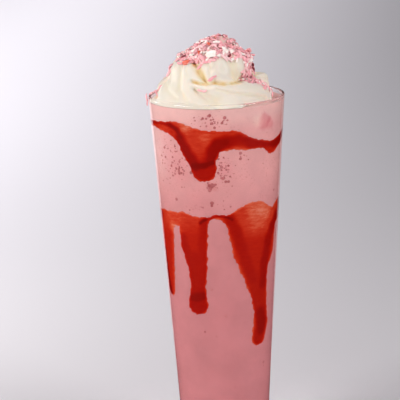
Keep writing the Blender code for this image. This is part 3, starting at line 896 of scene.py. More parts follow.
def shake_material(name, settings, speck_fill, bump, spots_and_light=()):
    """Drink or froth: paler towards the top, mottled, with fine foam."""
    drink, froth = settings.drink_colour, settings.froth_colour
    finish, tree, shader = new_material(name, froth)
    place = object_place(tree)
    split = add_node(tree, "ShaderNodeSeparateXYZ", Vector=place)
    level = colour_ramp(
        tree,
        ranged(tree, split.outputs["Z"], 0.0, GLASS_HEIGHT),
        (
            (0.10, drink),
            (0.45, mixed(drink, froth, 0.05)),
            (0.66, mixed(drink, froth, 0.22)),
            (0.76, mixed(drink, froth, 0.62)),
            (0.86, mixed(drink, froth, 0.92)),
            (0.93, froth),
            (0.97, mixed(froth, (0.86, 0.62, 0.57), 0.35)),
        ),
    )
    colour, height = mottled(tree, 46.0, 0.50, 5.0, level)
    foam = add_node(tree, "ShaderNodeGroup", node_tree=fine_foam_group(), Scale=620.0, Fill=speck_fill)
    colour = tinted(tree, colour, foam.outputs["Speck"], (0.80, 0.62, 0.64))
    # Round spots tint the froth: some darker, and at its sides paler ones that are painted light.
    if spots_and_light:
        shifted = drifted(tree, place)
        for tint_spot in spots_and_light:
            colour = tinted_spot(tree, shifted, colour, *tint_spot)
    set_inputs(tree, shader, Base_Color=colour, Roughness=0.5, Specular_IOR_Level=0.25)
    set_inputs(tree, shader, Subsurface_Weight=0.15, Subsurface_Radius=(1.0, 0.5, 0.45))
    set_inputs(tree, shader, Subsurface_Scale=0.003)
    add_bump(tree, shader, height, bump, 0.0006)
    return finish


def sauce_material(settings):
    """Strawberry sauce: peach where it is a thin film, deep red where it runs thick."""
    thick = settings.sauce_colour
    finish, tree, shader = new_material("strawberry_sauce", thick)
    depth = attribute(tree, "depth")
    flat = add_node(tree, "ShaderNodeMapping", Vector=object_place(tree), Scale=(1.0, 1.0, 3.4))
    wisps = add_node(tree, "ShaderNodeTexNoise", Vector=flat.outputs["Vector"], Scale=240.0)
    set_inputs(tree, wisps, Detail=7.0, Roughness=0.70)
    sway = maths(tree, "MULTIPLY_ADD", wisps.outputs["Fac"], 0.90, -0.45)
    thinness = maths(tree, "SUBTRACT", 1.05, depth, use_clamp=True)
    total = maths(tree, "ADD", depth, maths(tree, "MULTIPLY", sway, thinness), use_clamp=True)
    colour = colour_ramp(
        tree,
        total,
        (
            (0.0, (0.78, 0.34, 0.27)),
            (0.10, (0.72, 0.21, 0.13)),
            (0.26, (0.64, 0.095, 0.042)),
            (0.42, (0.56, 0.036, 0.012)),
            (0.62, (0.47, 0.012, 0.002)),
            (0.85, thick),
            (1.0, tuple(0.55 * c for c in thick)),
        ),
    )
    set_inputs(tree, shader, Base_Color=colour, Roughness=0.35, Specular_IOR_Level=0.06)
    return finish


def cream_material(settings):
    """Whipped cream: warm white, with beige and golden painted shade down in the creases, and fine pores."""
    cream = settings.cream_colour
    finish, tree, shader = new_material("whipped_cream", cream)
    # The crease attribute paints shade: beige, then golden, down in the creases where little light reaches.
    colour = colour_ramp(
        tree,
        attribute(tree, "crease"),
        (
            (0.0, cream),
            (0.30, mixed(cream, (0.86, 0.74, 0.52), 0.55)),
            (0.70, (0.78, 0.59, 0.31)),
            (1.0, (0.62, 0.38, 0.13)),
        ),
    )
    dusted = tinted(tree, colour, attribute(tree, "dust"), (1.0, 0.74, 0.76))
    uneven = mottled(tree, 110.0, 0.06, 4.0, dusted)[0]
    set_inputs(tree, shader, Base_Color=uneven, Roughness=0.42, Specular_IOR_Level=0.35)
    set_inputs(tree, shader, Subsurface_Weight=0.35, Subsurface_Radius=(1.0, 0.62, 0.38))
    set_inputs(tree, shader, Subsurface_Scale=0.0022)
    add_bump(tree, shader, mottled(tree, 900.0, 1.0, 3.0)[1], 0.18, 0.0002)
    return finish


def curl_material(name, colour, spread):
    """Chocolate curl: each curl a little paler or deeper, with scraped streaks."""
    finish, tree, shader = new_material(name, colour)
    each = colour_ramp(
        tree,
        attribute(tree, "tint"),
        (
            (0.0, mixed(colour, (0.93, 0.80, 0.76), spread)),
            (0.5, colour),
            (1.0, tuple(c * (1 - 0.6 * spread) for c in colour)),
        ),
    )
    uneven, height = mottled(tree, 700.0, 0.25, 3.0, each)
    set_inputs(tree, shader, Base_Color=uneven, Roughness=0.38)
    add_bump(tree, shader, height, 0.2, 0.0002)
    return finish


def bubble_material():
    """Air against the glass: a darker mauve spot in the froth, its darkness painted shade inside the hollow
    pocket.
    """
    finish, tree, shader = new_material("froth_bubble_painted_shade", (0.35, 0.1, 0.12))
    # Painted shade: the bubbles' dark mauve stands for the shade inside each air pocket.
    stops = ((0.0, (0.55, 0.19, 0.19)), (1.0, (0.38, 0.090, 0.090)))
    each = colour_ramp(tree, attribute(tree, "tint"), stops)
    uneven = mottled(tree, 500.0, 0.3, 2.0, each)[0]
    set_inputs(tree, shader, Base_Color=uneven, Roughness=0.6, Specular_IOR_Level=0.1)
    return finish


def floor_material():
    finish, tree, shader = new_material("pale_floor", (0.8, 0.8, 0.8))
    colour = mottled(tree, 0.8, 0.02, 2.0, (0.80, 0.775, 0.81, 1.0))[0]
    set_inputs(tree, shader, Base_Color=colour, Roughness=0.9, Specular_IOR_Level=0.1)
    return finish


# Sauce


def smooth_through(points, column, at):
    """A smooth curve through one column of the points, read where the first column is at."""
    table = np.array(points, float)
    x, y = table[:, 0], table[:, column]
    first = np.clip(np.searchsorted(x, at, side="right") - 1, 1, len(x) - 3)
    span = x[first + 1] - x[first]
    share = (at - x[first]) / span
    slope_here = (y[first + 1] - y[first - 1]) / (x[first + 1] - x[first - 1]) * span
    slope_after = (y[first + 2] - y[first]) / (x[first + 2] - x[first]) * span
    square, cube = share**2, share**3
    return (
        (2 * cube - 3 * square + 1) * y[first]
        + (cube - 2 * square + share) * slope_here
        + (3 * square - 2 * cube) * y[first + 1]
        + (cube - square) * slope_after
    )


def round_the_ring(band, column, azimuth):
    """The same curve for points that run once round the glass, from -180 degrees."""
    before = [(p[0] - 360, *p[1:]) for p in band[-2:]]
    after = [(p[0] + 360, *p[1:]) for p in band[:3]]
    return smooth_through((*before, *band, *after), column, round_from(0, azimuth))


def off_line(line, azimuth, height):
    """Distance from a line drawn on the wall, and how far along its nearest stretch, for each
    stretch of the line in turn."""
    radius = inner_radius(height)
    for start, end in zip(line, line[1:]):
        across = np.radians(round_from(start[0], azimuth)) * radius
        run = np.radians(end[0] - start[0]) * radius
        fall = end[1] - start[1]
        share = (across * run + (height - start[1]) * fall) / (run**2 + fall**2)
        share = np.clip(share, 0.0, 1.0)
        yield np.hypot(across - share * run, height - start[1] - share * fall), share, start, end


def inside_drip(drip, azimuth, height):
    best = np.full_like(height, -1.0)
    for away, share, start, end in off_line(drip, azimuth, height):
        best = np.maximum(best, start[2] + (end[2] - start[2]) * share - away)
    return best


def sauce_fields(band, drips, strands, azimuth, height):
    """How far inside the sauce's outline each point lies, and how dark the sauce is there."""
    upper = round_the_ring(band, 1, azimuth)
    lower = round_the_ring(band, 2, azimuth)
    inside = np.minimum(upper - height, height - lower)
    in_drips = np.full_like(height, -1.0)
    for drip in drips:
        in_drip = inside_drip(drip, azimuth, height)
        in_drips = np.maximum(in_drips, in_drip)
        part = np.minimum(in_drip, upper - height)
        blend = np.clip(SAUCE_FILLET - np.abs(inside - part), 0.0, None) / SAUCE_FILLET
        inside = np.maximum(inside, part) + blend**2 * SAUCE_FILLET / 4
    low_in_drip = eased((lower + DRIP_FROM - height) / DRIP_OVER)
    dark = SAUCE_FILM + SAUCE_IN_DRIP * eased(in_drips / DRIP_MIDDLE) * low_in_drip
    for strength, half_width, line in strands:
        for away, _, _, _ in off_line(line, azimuth, height):
            dark = np.maximum(dark, dark + (strength - dark) * eased(1.35 - away / half_width))
    for light, reach, place_azimuth, place_height in SAUCE_THIN_PATCHES:
        across = np.radians(round_from(place_azimuth, azimuth)) * inner_radius(height)
        away = np.hypot(across, height - place_height)
        dark -= light * eased(1.2 - away / reach)
    dark = np.clip(dark, SAUCE_PALEST, 1.0)
    dark *= SAUCE_FRINGE_SHARE + (1 - SAUCE_FRINGE_SHARE) * eased(inside / SAUCE_FRINGE)
    return inside, dark


def ragged(azimuth, height):
    """Small irregular waves, in metres, that repeat round the ring."""
    turn = np.radians(azimuth)
    waves = [share * np.sin(n * turn + lift * height + start) for n, lift, share, start in SAUCE_WAVES]
    return SAUCE_RAGGED * sum(waves)


def sauce_sheet(name, band, drips, strands):
    """A closed sheet against the wall. Its face dips into the drink along the outline, so the edge
    that shows is a smooth line."""
    low = min(p[1] - p[2] for drip in drips for p in drip) - 4 * SAUCE_ROW
    high = max(p[1] for p in band) + 4 * SAUCE_ROW
    rows = math.ceil((high - low) / SAUCE_ROW)
    step = 360 / SAUCE_COLUMNS
    azimuth, height = np.meshgrid(
        np.arange(SAUCE_COLUMNS) * step - 180, low + np.arange(rows + 1) * SAUCE_ROW, indexing="ij"
    )
    inside, dark = sauce_fields(band, drips, strands, azimuth, height)
    inside = inside + ragged(azimuth, height)
    wall = inner_radius(height)
    face = wall + SAUCE_INTO_WALL - SAUCE_DIP * eased(0.5 - inside / SAUCE_DIP)
    back = wall - SAUCE_BACK
    keep = inside > -SAUCE_MARGIN
    turn = np.radians(azimuth)
    points, depth, faces, index = [], [], [], {}

    def corner(i, j, skin):
        key = (i % SAUCE_COLUMNS, j, skin)
        if key not in index:
            k = key[0]
            radius = (face if skin == 0 else back)[k, j]
            index[key] = len(points)
            points.append((radius * math.sin(turn[k, j]), -radius * math.cos(turn[k, j]), height[k, j]))
            depth.append(dark[k, j])
        return index[key]

    cells = keep & np.roll(keep, -1, axis=0)
    cells = cells[:, :-1] & cells[:, 1:]
    for i, j in zip(*np.nonzero(cells)):
        i, j = int(i), int(j)
        ring = ((i, j), (i + 1, j), (i + 1, j + 1), (i, j + 1))
        faces.append([corner(*c, 0) for c in ring])
        faces.append([corner(*c, 1) for c in reversed(ring)])
        sides = (
            (not cells[i, j - 1], 0),
            (not cells[(i + 1) % SAUCE_COLUMNS, j], 1),
            (not cells[i, j + 1], 2),
            (not cells[i - 1, j], 3),
        )
        for is_open, side in sides:
            if is_open:
                a, b = ring[side], ring[(side + 1) % 4]
                faces.append([corner(*b, 0), corner(*a, 0), corner(*a, 1), corner(*b, 1)])
    piece = mesh_piece(name, points, faces)
    store(piece.data, "depth", depth)
    return piece


# Cream


def strand_at(turn):
    """Centre and radius of the piped strand, turn degrees after its start."""
    first, last = STRAND[0], STRAND[-1]
    stations = ((first[0] - 60, *first[1:]), *STRAND, (last[0] + 60, *last[1:]))
    ring, height, radius = (float(smooth_through(stations, column, turn)) for column in (1, 2, 3))
    centre = on_wall(STRAND_START - turn, GLASS_HEIGHT + height, ring)
    lean = PEAK_LEAN * float(eased((height - 0.008) / 0.015))
    return centre + Vector((CREAM_OFFSET_X + lean, CREAM_OFFSET_Y, 0.0)), radius


def strand_tree():
    """The whole piped strand as a closed round tube to cast rays on."""
    around = 48
    points, faces, rings = [], [], []
    for turn in np.arange(0.0, STRAND[-1][0] + 1.0, 3.0):
        centre, radius = strand_at(turn)
        ahead = (strand_at(turn + 1)[0] - strand_at(turn - 1)[0]).normalized()
        outward = on_wall(STRAND_START - turn, 0.0, 1.0)
        outward = (outward - ahead * outward.dot(ahead)).normalized()
        upward = outward.cross(ahead).normalized()
        rings.append(len(points))
        for k in range(around):
            angle = math.tau * k / around
            points.append(centre + (outward * math.cos(angle) + upward * math.sin(angle)) * radius)
    for start, following in zip(rings, rings[1:]):
        faces += between_rings(start, following, around)
    faces.append(tuple(range(around)))
    faces.append(tuple(range(rings[-1], rings[-1] + around)))
    return BVHTree.FromPolygons(points, faces)


def cream_centre():
    return Vector((CREAM_OFFSET_X, CREAM_OFFSET_Y, FROTH_LEVEL + CREAM_GAP))


def strand_reach(tree, direction):
    """How far the piped strand, or the cream that fills its middle, reaches in one direction."""
    centre = cream_centre()
    hit = tree.ray_cast(centre + direction * CREAM_OUT, -direction)[0]
    reach = (hit - centre).length if hit is not None else 0.0
    level = math.hypot(direction.x, direction.y)
    filler = 1 / math.hypot(level / FILLER_RADIUS, direction.z / FILLER_HEIGHT)
    return max(reach, filler)


def blurred(grid, reach):
    """The grid averaged with its neighbours three times over, wrapping round the columns."""
    for _ in range(3):
        total = np.zeros_like(grid)
        for shift in range(-reach, reach + 1):
            total += np.roll(grid, shift, axis=1)
        grid = total / (2 * reach + 1)
        padded = np.pad(grid, ((reach, reach), (0, 0)), mode="edge")
        total = np.zeros_like(grid)
        for shift in range(2 * reach + 1):
            total += padded[shift : shift + len(grid)]
        grid = total / (2 * reach + 1)
    return grid


def all_creases():
    """The creases of the front and, further round, slanting ones between the swirl's turns."""
    # Each crease: depth, strength of its painted golden shade, and its line.
    creases = list(CREASES)
    for azimuth in SIDE_CREASES_LOW:
        top = 31 - 0.085 * (azimuth - 60)
        line = ((azimuth, top, 0.0010), (azimuth + 9, top * 0.55, 0.0016), (azimuth + 22, 2, 0.0012))
        creases.append((0.0018, 0.25, line))
    for azimuth in SIDE_CREASES_HIGH:
        top = 42 + 0.085 * (azimuth - 80)
        foot = 31 - 0.085 * (azimuth - 60)
        middle = (azimuth + 7, (top + foot) / 2, 0.0016)
        line = ((azimuth, top, 0.0010), middle, (azimuth + 15, foot, 0.0010))
        creases.append((0.0016, 0.25, line))
    return creases


def crease_fields(azimuth, rise, reach):
    """How deep the creases run at each point, and how strongly golden painted shade fills them."""
    carve, crease_shade = np.zeros_like(reach), np.zeros_like(reach)
    patchy = 0.72 + 0.28 * np.sin(np.radians(9 * azimuth + 4 * rise)) * np.sin(np.radians(23 * azimuth))
    level = reach * np.cos(np.radians(rise))
    for depth, tint, line in all_creases():
        strength = np.zeros_like(reach)
        for start, end in zip(line, line[1:]):
            across = np.radians(round_from(start[0], azimuth)) * level
            run = np.radians(end[0] - start[0]) * level
            fall = math.radians(end[1] - start[1]) * reach
            up = np.radians(rise - start[1]) * reach
            share = np.clip((across * run + up * fall) / (run**2 + fall**2), 0.0, 1.0)
            away = np.hypot(across - share * run, up - share * fall)
            width = start[2] + (end[2] - start[2]) * share
            near = 0.62 * np.exp(-((away / width) ** 2)) + 0.38 * np.exp(-((away / width / 3) ** 2))
            strength = np.maximum(strength, near)
        carve = np.maximum(carve, depth * strength) + 0.3 * np.minimum(carve, depth * strength)
        # Painted shade: the creases' golden colour, patchy along them.
        crease_shade = np.maximum(crease_shade, patchy * tint * np.clip((strength - 0.28) / 0.60, 0.0, 1.0))
    return carve, crease_shade


def curl_density(azimuth, rise):
    """How thickly the curls lie: heaped on the peak and trailing down the right."""
    heap = float(eased((rise - 50) / 8))
    middle = float(np.interp(rise, (5, 27, 45), (82, 64, 78)))
    half_width = float(np.interp(rise, (5, 25, 45), (14, 18, 28)))
    off_trail = abs(round_from(middle, azimuth))
    trail = 0.85 * float(eased((half_width - off_trail) / 12)) * float(eased((rise - 4) / 8))
    return max(heap, trail)


def cream_swirl():
    """The skin over the whole strand, in columns round the centre and rows up to the peak."""
    tree = strand_tree()
    centre = cream_centre()
    azimuth, rise = np.meshgrid(
        np.arange(CREAM_COLUMNS) * 360 / CREAM_COLUMNS, np.arange(CREAM_ROWS) * 90 / CREAM_ROWS
    )
    turn, lift = np.radians(azimuth), np.radians(rise)
    ways = np.stack(
        (np.sin(turn) * np.cos(lift), -np.cos(turn) * np.cos(lift), np.sin(lift)), axis=-1
    )
    reach = np.array([[strand_reach(tree, Vector(way)) for way in row] for row in ways])
    reach = blurred(reach, CREAM_SOFTENING)
    carve, crease_shade = crease_fields(azimuth, rise, reach)
    right = np.exp(-(((azimuth - 78) / 32) ** 2)) * eased((24 - rise) / 18)
    front = eased((62 - np.abs(round_from(-28, azimuth))) / 14) * np.exp(-rise / 5)
    flat = eased((rise - 52) / 22)
    reach += FULLER_ALL_OVER + FULLER_LOW_RIGHT * right + FULLER_FRONT * front
    reach -= FLATTER_PEAK * flat + carve
    for swelling, middle, half_width, middle_rise, half_rise in SWELLINGS:
        across = round_from(middle, azimuth) / half_width
        reach += swelling * np.exp(-(across**2) - ((rise - middle_rise) / half_rise) ** 2)
    for _ in range(PRESS_STEPS):
        spot = ways * reach[..., None] + np.array(centre)
        x, y, z = (spot[..., axis] for axis in range(3))
        most = inner_radius(np.minimum(z, GLASS_HEIGHT)) + CREAM_INTO_WALL
        over = (z < GLASS_HEIGHT + PRESS_OVER_RIM) & (np.hypot(x, y) > most)
        if not over.any():
            break
        reach = np.where(over, reach * PRESS_SHARE, reach)
    points = [tuple(p) for p in spot.reshape(-1, 3)]
    crease_shade_per_point = list(crease_shade.ravel()) + [0.0, 0.0]
    peak = len(points)
    points.append((centre.x, centre.y, centre.z + float(reach[-1].mean())))
    underside = len(points)
    points.append(tuple(centre))
    faces = []
    for k in range(CREAM_COLUMNS):
        n = (k + 1) % CREAM_COLUMNS
        for i in range(CREAM_ROWS - 1):
            a, b = i * CREAM_COLUMNS, (i + 1) * CREAM_COLUMNS
            faces.append((a + k, a + n, b + n, b + k))
        top = (CREAM_ROWS - 1) * CREAM_COLUMNS
        faces.append((top + k, top + n, peak))
        faces.append((n, k, underside))
    piece = mesh_piece("cream_swirl", points, faces)
    dust = [curl_density(*spot) for spot in zip(azimuth.ravel(), rise.ravel())] + [1.0, 0.0]
    # The crease attribute carries the painted golden shade of the creases.
    store(piece.data, "crease", crease_shade_per_point)
    store(piece.data, "dust", dust)
    return piece


# Curls, crumbs and bubbles


def curl_form(name, length, radius, sweep, thickness, bend, slant, taper):
    """A scraped curl along X: a C-shaped section bent along its length, its ends cut on the slant."""
    around, along = 5, 4
    points, faces = [], []
    for i in range(along + 1):
        share = i / along - 0.5
        turn = share * length / bend
        lift = Vector((math.sin(turn), 0.0, math.cos(turn)))
        middle = lift * bend - Vector((0, 0, bend))
        narrowing = 1 - taper * (2 * abs(share)) ** 3
        for skin, radius_here in ((0, radius), (1, radius - thickness)):
            for k in range(around + 1):
                k = k if skin == 0 else around - k
                angle = math.radians(sweep) * (k / around - 0.5)
                out = radius_here * math.cos(angle) * narrowing
                side = radius_here * math.sin(angle) * narrowing
                cut = slant * side * 2 * share
                points.append(middle + lift * (out - radius * 0.6) + Vector((cut, side, 0)))
    ring = 2 * (around + 1)
    for i in range(along):
        faces += between_rings(i * ring, (i + 1) * ring, ring)
    faces.append(tuple(range(ring))[::-1])
    faces.append(tuple(range(along * ring, along * ring + ring)))
    piece = mesh_piece(name, points, faces)
    face_outwards(piece)
    sharpen(piece, 42)
    return piece


def forms_collection(name, forms):
    """A collection that holds the shapes which the scatter picks from, in order of name."""
    collection = bpy.data.collections.new(name)
    for form in forms:
        bpy.context.scene.collection.objects.unlink(form)
        collection.objects.link(form)
    return collection


def drop_collection(collection):
    for form in list(collection.objects):
        mesh = form.data
        bpy.data.objects.remove(form)
        bpy.data.meshes.remove(mesh)
    bpy.data.collections.remove(collection)


def scatter_tree():
    """Geometry Nodes: puts one of the forms on each point, turned and sized as the point says."""
    found = bpy.data.node_groups.get("scatter")
    if found:
        return found
    tree, given, leave = new_group(
        "scatter",
        "GeometryNodeTree",
        (
            ("Points", "Geometry"),
            ("Forms", "Collection"),
            ("Size", "Float", 1.0),
            ("Size Spread", "Float", 0.2),
            ("Seed", "Int", 1),
            ("Material", "Material"),
        ),
        (("Pieces", "Geometry"),),
    )
    forms = add_node(tree, "GeometryNodeCollectionInfo", Collection=given["Forms"])
    set_inputs(tree, forms, Separate_Children=True, Reset_Children=True)
    named = {}
    for name, kind in (("kind", "INT"), ("lie", "FLOAT_VECTOR"), ("size", "FLOAT")):
        node = add_node(tree, "GeometryNodeInputNamedAttribute", data_type=kind, Name=name)
        named[name] = node.outputs["Attribute"]
    chance = add_node(tree, "FunctionNodeRandomValue", data_type="FLOAT", Seed=given["Seed"])
    feed(tree, maths(tree, "SUBTRACT", 1.0, given["Size Spread"]), chance.inputs[2])
    feed(tree, maths(tree, "ADD", 1.0, given["Size Spread"]), chance.inputs[3])
    scale = maths(tree, "MULTIPLY", chance.outputs[1], given["Size"])
    put = add_node(
        tree,
        "GeometryNodeInstanceOnPoints",
        Points=given["Points"],
        Instance=forms.outputs["Instances"],
        Pick_Instance=True,
        Instance_Index=named["kind"],
        Rotation=named["lie"],
        Scale=maths(tree, "MULTIPLY", scale, named["size"]),
    )
    real = add_node(tree, "GeometryNodeRealizeInstances", Geometry=put.outputs["Instances"])
    paint = add_node(tree, "GeometryNodeSetMaterial", Geometry=real.outputs["Geometry"])
    set_inputs(tree, paint, Material=given["Material"])
    set_inputs(tree, leave, Pieces=paint.outputs["Geometry"])
    return tree


def scattered(name, spots, collection, finish, size, spread, seed):
    """Runs the scatter on the spots and keeps the result as one plain mesh."""
    piece = mesh_piece(name, [s["place"] for s in spots], [])
    for label, kind, field in (
        ("kind", "INT", "value"),
        ("lie", "FLOAT_VECTOR", "vector"),
        ("size", "FLOAT", "value"),
        ("tint", "FLOAT", "value"),
    ):
        store(piece.data, label, [s[label] for s in spots], kind, field)
    tree = scatter_tree()
    modifier = piece.modifiers.new("scatter", "NODES")
    modifier.node_group = tree
    values = {
        "Forms": collection,
        "Size": size,
        "Size Spread": spread,
        "Seed": seed,
        "Material": finish,
    }
    for item in tree.interface.items_tree:
        if item.in_out == "INPUT" and item.name in values:
            modifier[item.identifier] = values[item.name]
    graph = bpy.context.evaluated_depsgraph_get()
    plain = bpy.data.meshes.new_from_object(piece.evaluated_get(graph))
    piece.modifiers.clear()
    piece.data = plain
    for label in ("kind", "lie", "size"):
        if label in plain.attributes:
            plain.attributes.remove(plain.attributes[label])
    if not plain.polygons:
        raise RuntimeError(f"{name}: the scatter made nothing")
    return piece


def lie_on(normal, heading, tilt=0.0, roll=0.0):
    """Euler turn of a form that lies on a surface, heading in degrees round the normal."""
    turn = normal.to_track_quat("Z", "Y").to_matrix().to_4x4()
    turn = turn @ Matrix.Rotation(math.radians(heading), 4, "Z")
    turn = turn @ Matrix.Rotation(math.radians(tilt), 4, "Y")
    turn = turn @ Matrix.Rotation(math.radians(roll), 4, "X")
    return tuple(turn.to_euler())


def lie_along(normal, along, swing):
    """Euler turn of a form whose length runs along a line on the surface, off by swing degrees."""
    side = normal.cross(along).normalized()
    turn = Matrix((side.cross(normal), side, normal)).transposed()
    return tuple((turn @ Matrix.Rotation(math.radians(swing), 3, "Z")).to_euler())


def cream_way(azimuth, rise):
    level = on_wall(azimuth, 0.0, math.cos(math.radians(rise)))
    return Vector((level.x, level.y, math.sin(math.radians(rise))))


def on_cream(tree, azimuth, rise):
    """Point and normal of the cream in a direction from its centre."""
    way = cream_way(azimuth, rise)
    spot, normal, _, _ = tree.ray_cast(cream_centre() + way * CREAM_OUT, -way)
    return spot, (normal + way).normalized()


def spot_for(place, lie, kind, size, tint):
    """What the scatter needs for one form."""
    return {"place": place, "lie": lie, "kind": kind, "size": size, "tint": tint}


def strewn_spots(tree, count, seed, forms, lift=0.0006, spacing=0.0011):
    """Spots strewn at random, closer where the curls lie thicker."""
    rng = np.random.default_rng(seed)
    spots = []
    while len(spots) < count:
        azimuth = rng.uniform(-180, 180)
        rise = math.degrees(math.asin(rng.uniform(0, 1)))
        if rng.uniform() > curl_density(azimuth, rise):
            continue
        place, normal = on_cream(tree, azimuth, rise)
        if place.z < GLASS_HEIGHT + CURL_ABOVE_RIM:
            continue
        if any((place - other["ground"]).length < spacing for other in spots):
            continue
        spot = spot_for(
            place + normal * rng.uniform(0.1, 1.5) * lift,
            lie_on(normal, rng.uniform(0, 360), rng.uniform(-24, 24), rng.uniform(-30, 30)),
            int(rng.choice(forms)),
            rng.uniform(0.8, 1.2),
            rng.uniform(0, 1),
        )
        spots.append(spot | {"ground": place})
    return spots


def placed_spots(tree, table, seed):
    rng = np.random.default_rng(seed)
    spots = []
    for azimuth, rise, heading, size, kind, *tilt in table:
        place, normal = on_cream(tree, azimuth, rise)
        lie = lie_on(normal, heading, sum(tilt) + rng.uniform(-10, 10), rng.uniform(-15, 15))
        spots.append(spot_for(place + normal * 0.0007, lie, kind, size, rng.uniform(0.2, 0.8)))
    return spots


def rim_spots(seed):
    """The curls that lie over the rim and hang down outside the glass."""
    rng = np.random.default_rng(seed)
    spots = []
    for azimuth, height, gap, size in RIM_CURLS:
        outward = on_wall(azimuth, 0.0, 1.0)
        normal = (outward + Vector((0, 0, 1)) * (1.2 if gap < 0 else 0.1)).normalized()
        down = Vector((0, 1, 0)).cross(normal)
        place = outward * (outer_radius(GLASS_HEIGHT) + gap) + Vector((0, 0, GLASS_HEIGHT + height))
        lie = lie_along(normal, down, rng.uniform(-35, 35))
        spots.append(spot_for(place, lie, int(rng.choice((0, 1))), size, rng.uniform(0.3, 0.8)))
    return spots


def bubble_spots(seed):
    rng = np.random.default_rng(seed)
    spots = []

    def add(azimuth, height, size):
        outward = on_wall(azimuth, 0.0, 1.0)
        place = outward * (inner_radius(height) + DRINK_INTO_WALL) + Vector((0, 0, height))
        spots.append(spot_for(place, lie_on(outward, 0.0), 0, size, rng.uniform(0, 1)))

    for azimuth, height, spread, rise, count in BUBBLE_GROUPS:
        for _ in range(count):
            add(rng.normal(azimuth, spread / 2), rng.normal(height, rise), rng.lognormal(-0.60, 0.5))
    for azimuth, height, size in LONE_BUBBLES:
        add(azimuth, height, size)
    return spots


# Operators


class MILKSHAKE_OT_glass(bpy.types.Operator):
    """Tall tapered glass with a thick base, rounded heel and round lip"""

    bl_idname = "milkshake.glass"
    bl_label = "Glass"

    def execute(self, context):
        punt = [
            (PUNT_RADIUS * share, PUNT_DEPTH * (1 - share**2))
            for share in (0.0, 0.2, 0.4, 0.6, 0.8, 0.95, 1.0)
        ]
        heel_centre = (outer_radius(HEEL_RADIUS) - HEEL_RADIUS, HEEL_RADIUS)
        heel = arc(heel_centre, HEEL_RADIUS, -90, 0, 8)
        lip = WALL_AT_RIM / 2
        lip_centre = (outer_radius(GLASS_HEIGHT - lip) - lip, GLASS_HEIGHT - lip)
        rim = arc(lip_centre, lip, 0, 180, 12)
        outside = [(outer_radius(z), z) for z in np.linspace(0.02, 0.19, 8)]
        inside = [(inner_radius(z), z) for z in np.linspace(0.19, 0.04, 8)]
        profile = punt + heel + outside + rim + inside + cavity_profile(0.0)[::-1]
        piece = turned("glass_tumbler", profile)
        finish_piece(piece, "glass", glass_material(), "glass")
        return {"FINISHED"}


class MILKSHAKE_OT_drink(bpy.types.Operator):
    """Milkshake in the lower part of the glass and the froth on it"""

    bl_idname = "milkshake.drink"
    bl_label = "Milkshake and froth"

    def execute(self, context):
        settings = context.scene.milkshake
        grow, overlap = DRINK_INTO_WALL, 0.0001
        top = DRINK_LEVEL + overlap
        walls = [(inner_radius(z) + grow, z) for z in np.linspace(0.03, top, 12)]
        drink = turned("milkshake_body", cavity_profile(grow) + walls + [(0.0, top)])
        sharpen(drink, 50)
        finish = shake_material("milkshake_drink", settings, 0.10, 0.0)
        finish_piece(drink, "milkshake", finish, "milkshake")
        low = DRINK_LEVEL - overlap
        walls = [(inner_radius(z) + grow, z) for z in np.linspace(low, FROTH_LEVEL, 10)]
        radius = inner_radius(FROTH_LEVEL)
        surface = [(radius * share, FROTH_LEVEL) for share in (0.97, 0.88, 0.6, 0.3, 0.0)]
        froth = turned("froth_body", [(0.0, low)] + walls + surface)
        sharpen(froth, 50)
        finish = shake_material("milkshake_froth", settings, 0.55, 0.3, FROTH_SPOTS_AND_PAINTED_LIGHT)
        finish_piece(froth, "froth", finish, "froth")
        return {"FINISHED"}


class MILKSHAKE_OT_sauce(bpy.types.Operator):
    """Two rings of sauce that run down the inside of the glass"""

    bl_idname = "milkshake.sauce"
    bl_label = "Sauce"

    def execute(self, context):
        finish = sauce_material(context.scene.milkshake)
        upper = sauce_sheet("sauce_upper_ring", UPPER_BAND, UPPER_DRIPS, UPPER_STRANDS)
        finish_piece(upper, "sauce", finish, "sauce_upper")
        lower = sauce_sheet("sauce_lower_ring", LOWER_BAND, LOWER_DRIPS, LOWER_STRANDS)
        finish_piece(lower, "sauce", finish, "sauce_lower")
        return {"FINISHED"}


class MILKSHAKE_OT_cream(bpy.types.Operator):
    """Swirl of whipped cream piped in the mouth of the glass"""

    bl_idname = "milkshake.cream"
    bl_label = "Cream"

    def execute(self, context):
        piece = cream_swirl()
        finish_piece(piece, "cream", cream_material(context.scene.milkshake), "cream")
        return {"FINISHED"}


class MILKSHAKE_OT_curls(bpy.types.Operator):
    """Pink, white, dark and red chocolate curls and their crumbs on the cream"""

    bl_idname = "milkshake.curls"
    bl_label = "Chocolate curls"

    def execute(self, context):
        settings = context.scene.milkshake
        cream = bpy.data.objects["cream_swirl"]
        tree = BVHTree.FromObject(cream, context.evaluated_depsgraph_get())
        forms = forms_collection("curl_forms", [curl_form(*row) for row in CURL_FORMS])
        size, seed, pink = settings.curl_size, settings.seed, settings.pink_colour
        for kind, (name, colour, variety, share, placed) in enumerate(CURL_KINDS, 1):
            count = round(settings.curl_count * share)
            spots = strewn_spots(tree, count, seed + kind, FORM_SHARES)
            spots += placed_spots(tree, placed, seed + kind)
            if name == "curls_pink":
                spots += rim_spots(seed)
            finish = curl_material(name, colour or pink, variety)
            piece = scattered(name, spots, forms, finish, size, CURL_SPREAD, seed + kind)
            finish_piece(piece, "cream", finish)
        seed += CRUMB_SEED
        crumbs = strewn_spots(tree, CRUMB_COUNT, seed, (CRUMB_FORM,), lift=0.0003, spacing=0.0008)
        finish = curl_material("curl_crumbs", mixed(pink, (0.9, 0.8, 0.75), 0.25), 0.5)
        piece = scattered("curl_crumbs", crumbs, forms, finish, CRUMB_SIZE * size, CRUMB_SPREAD, seed)
        finish_piece(piece, "cream", finish)
        drop_collection(forms)
        return {"FINISHED"}


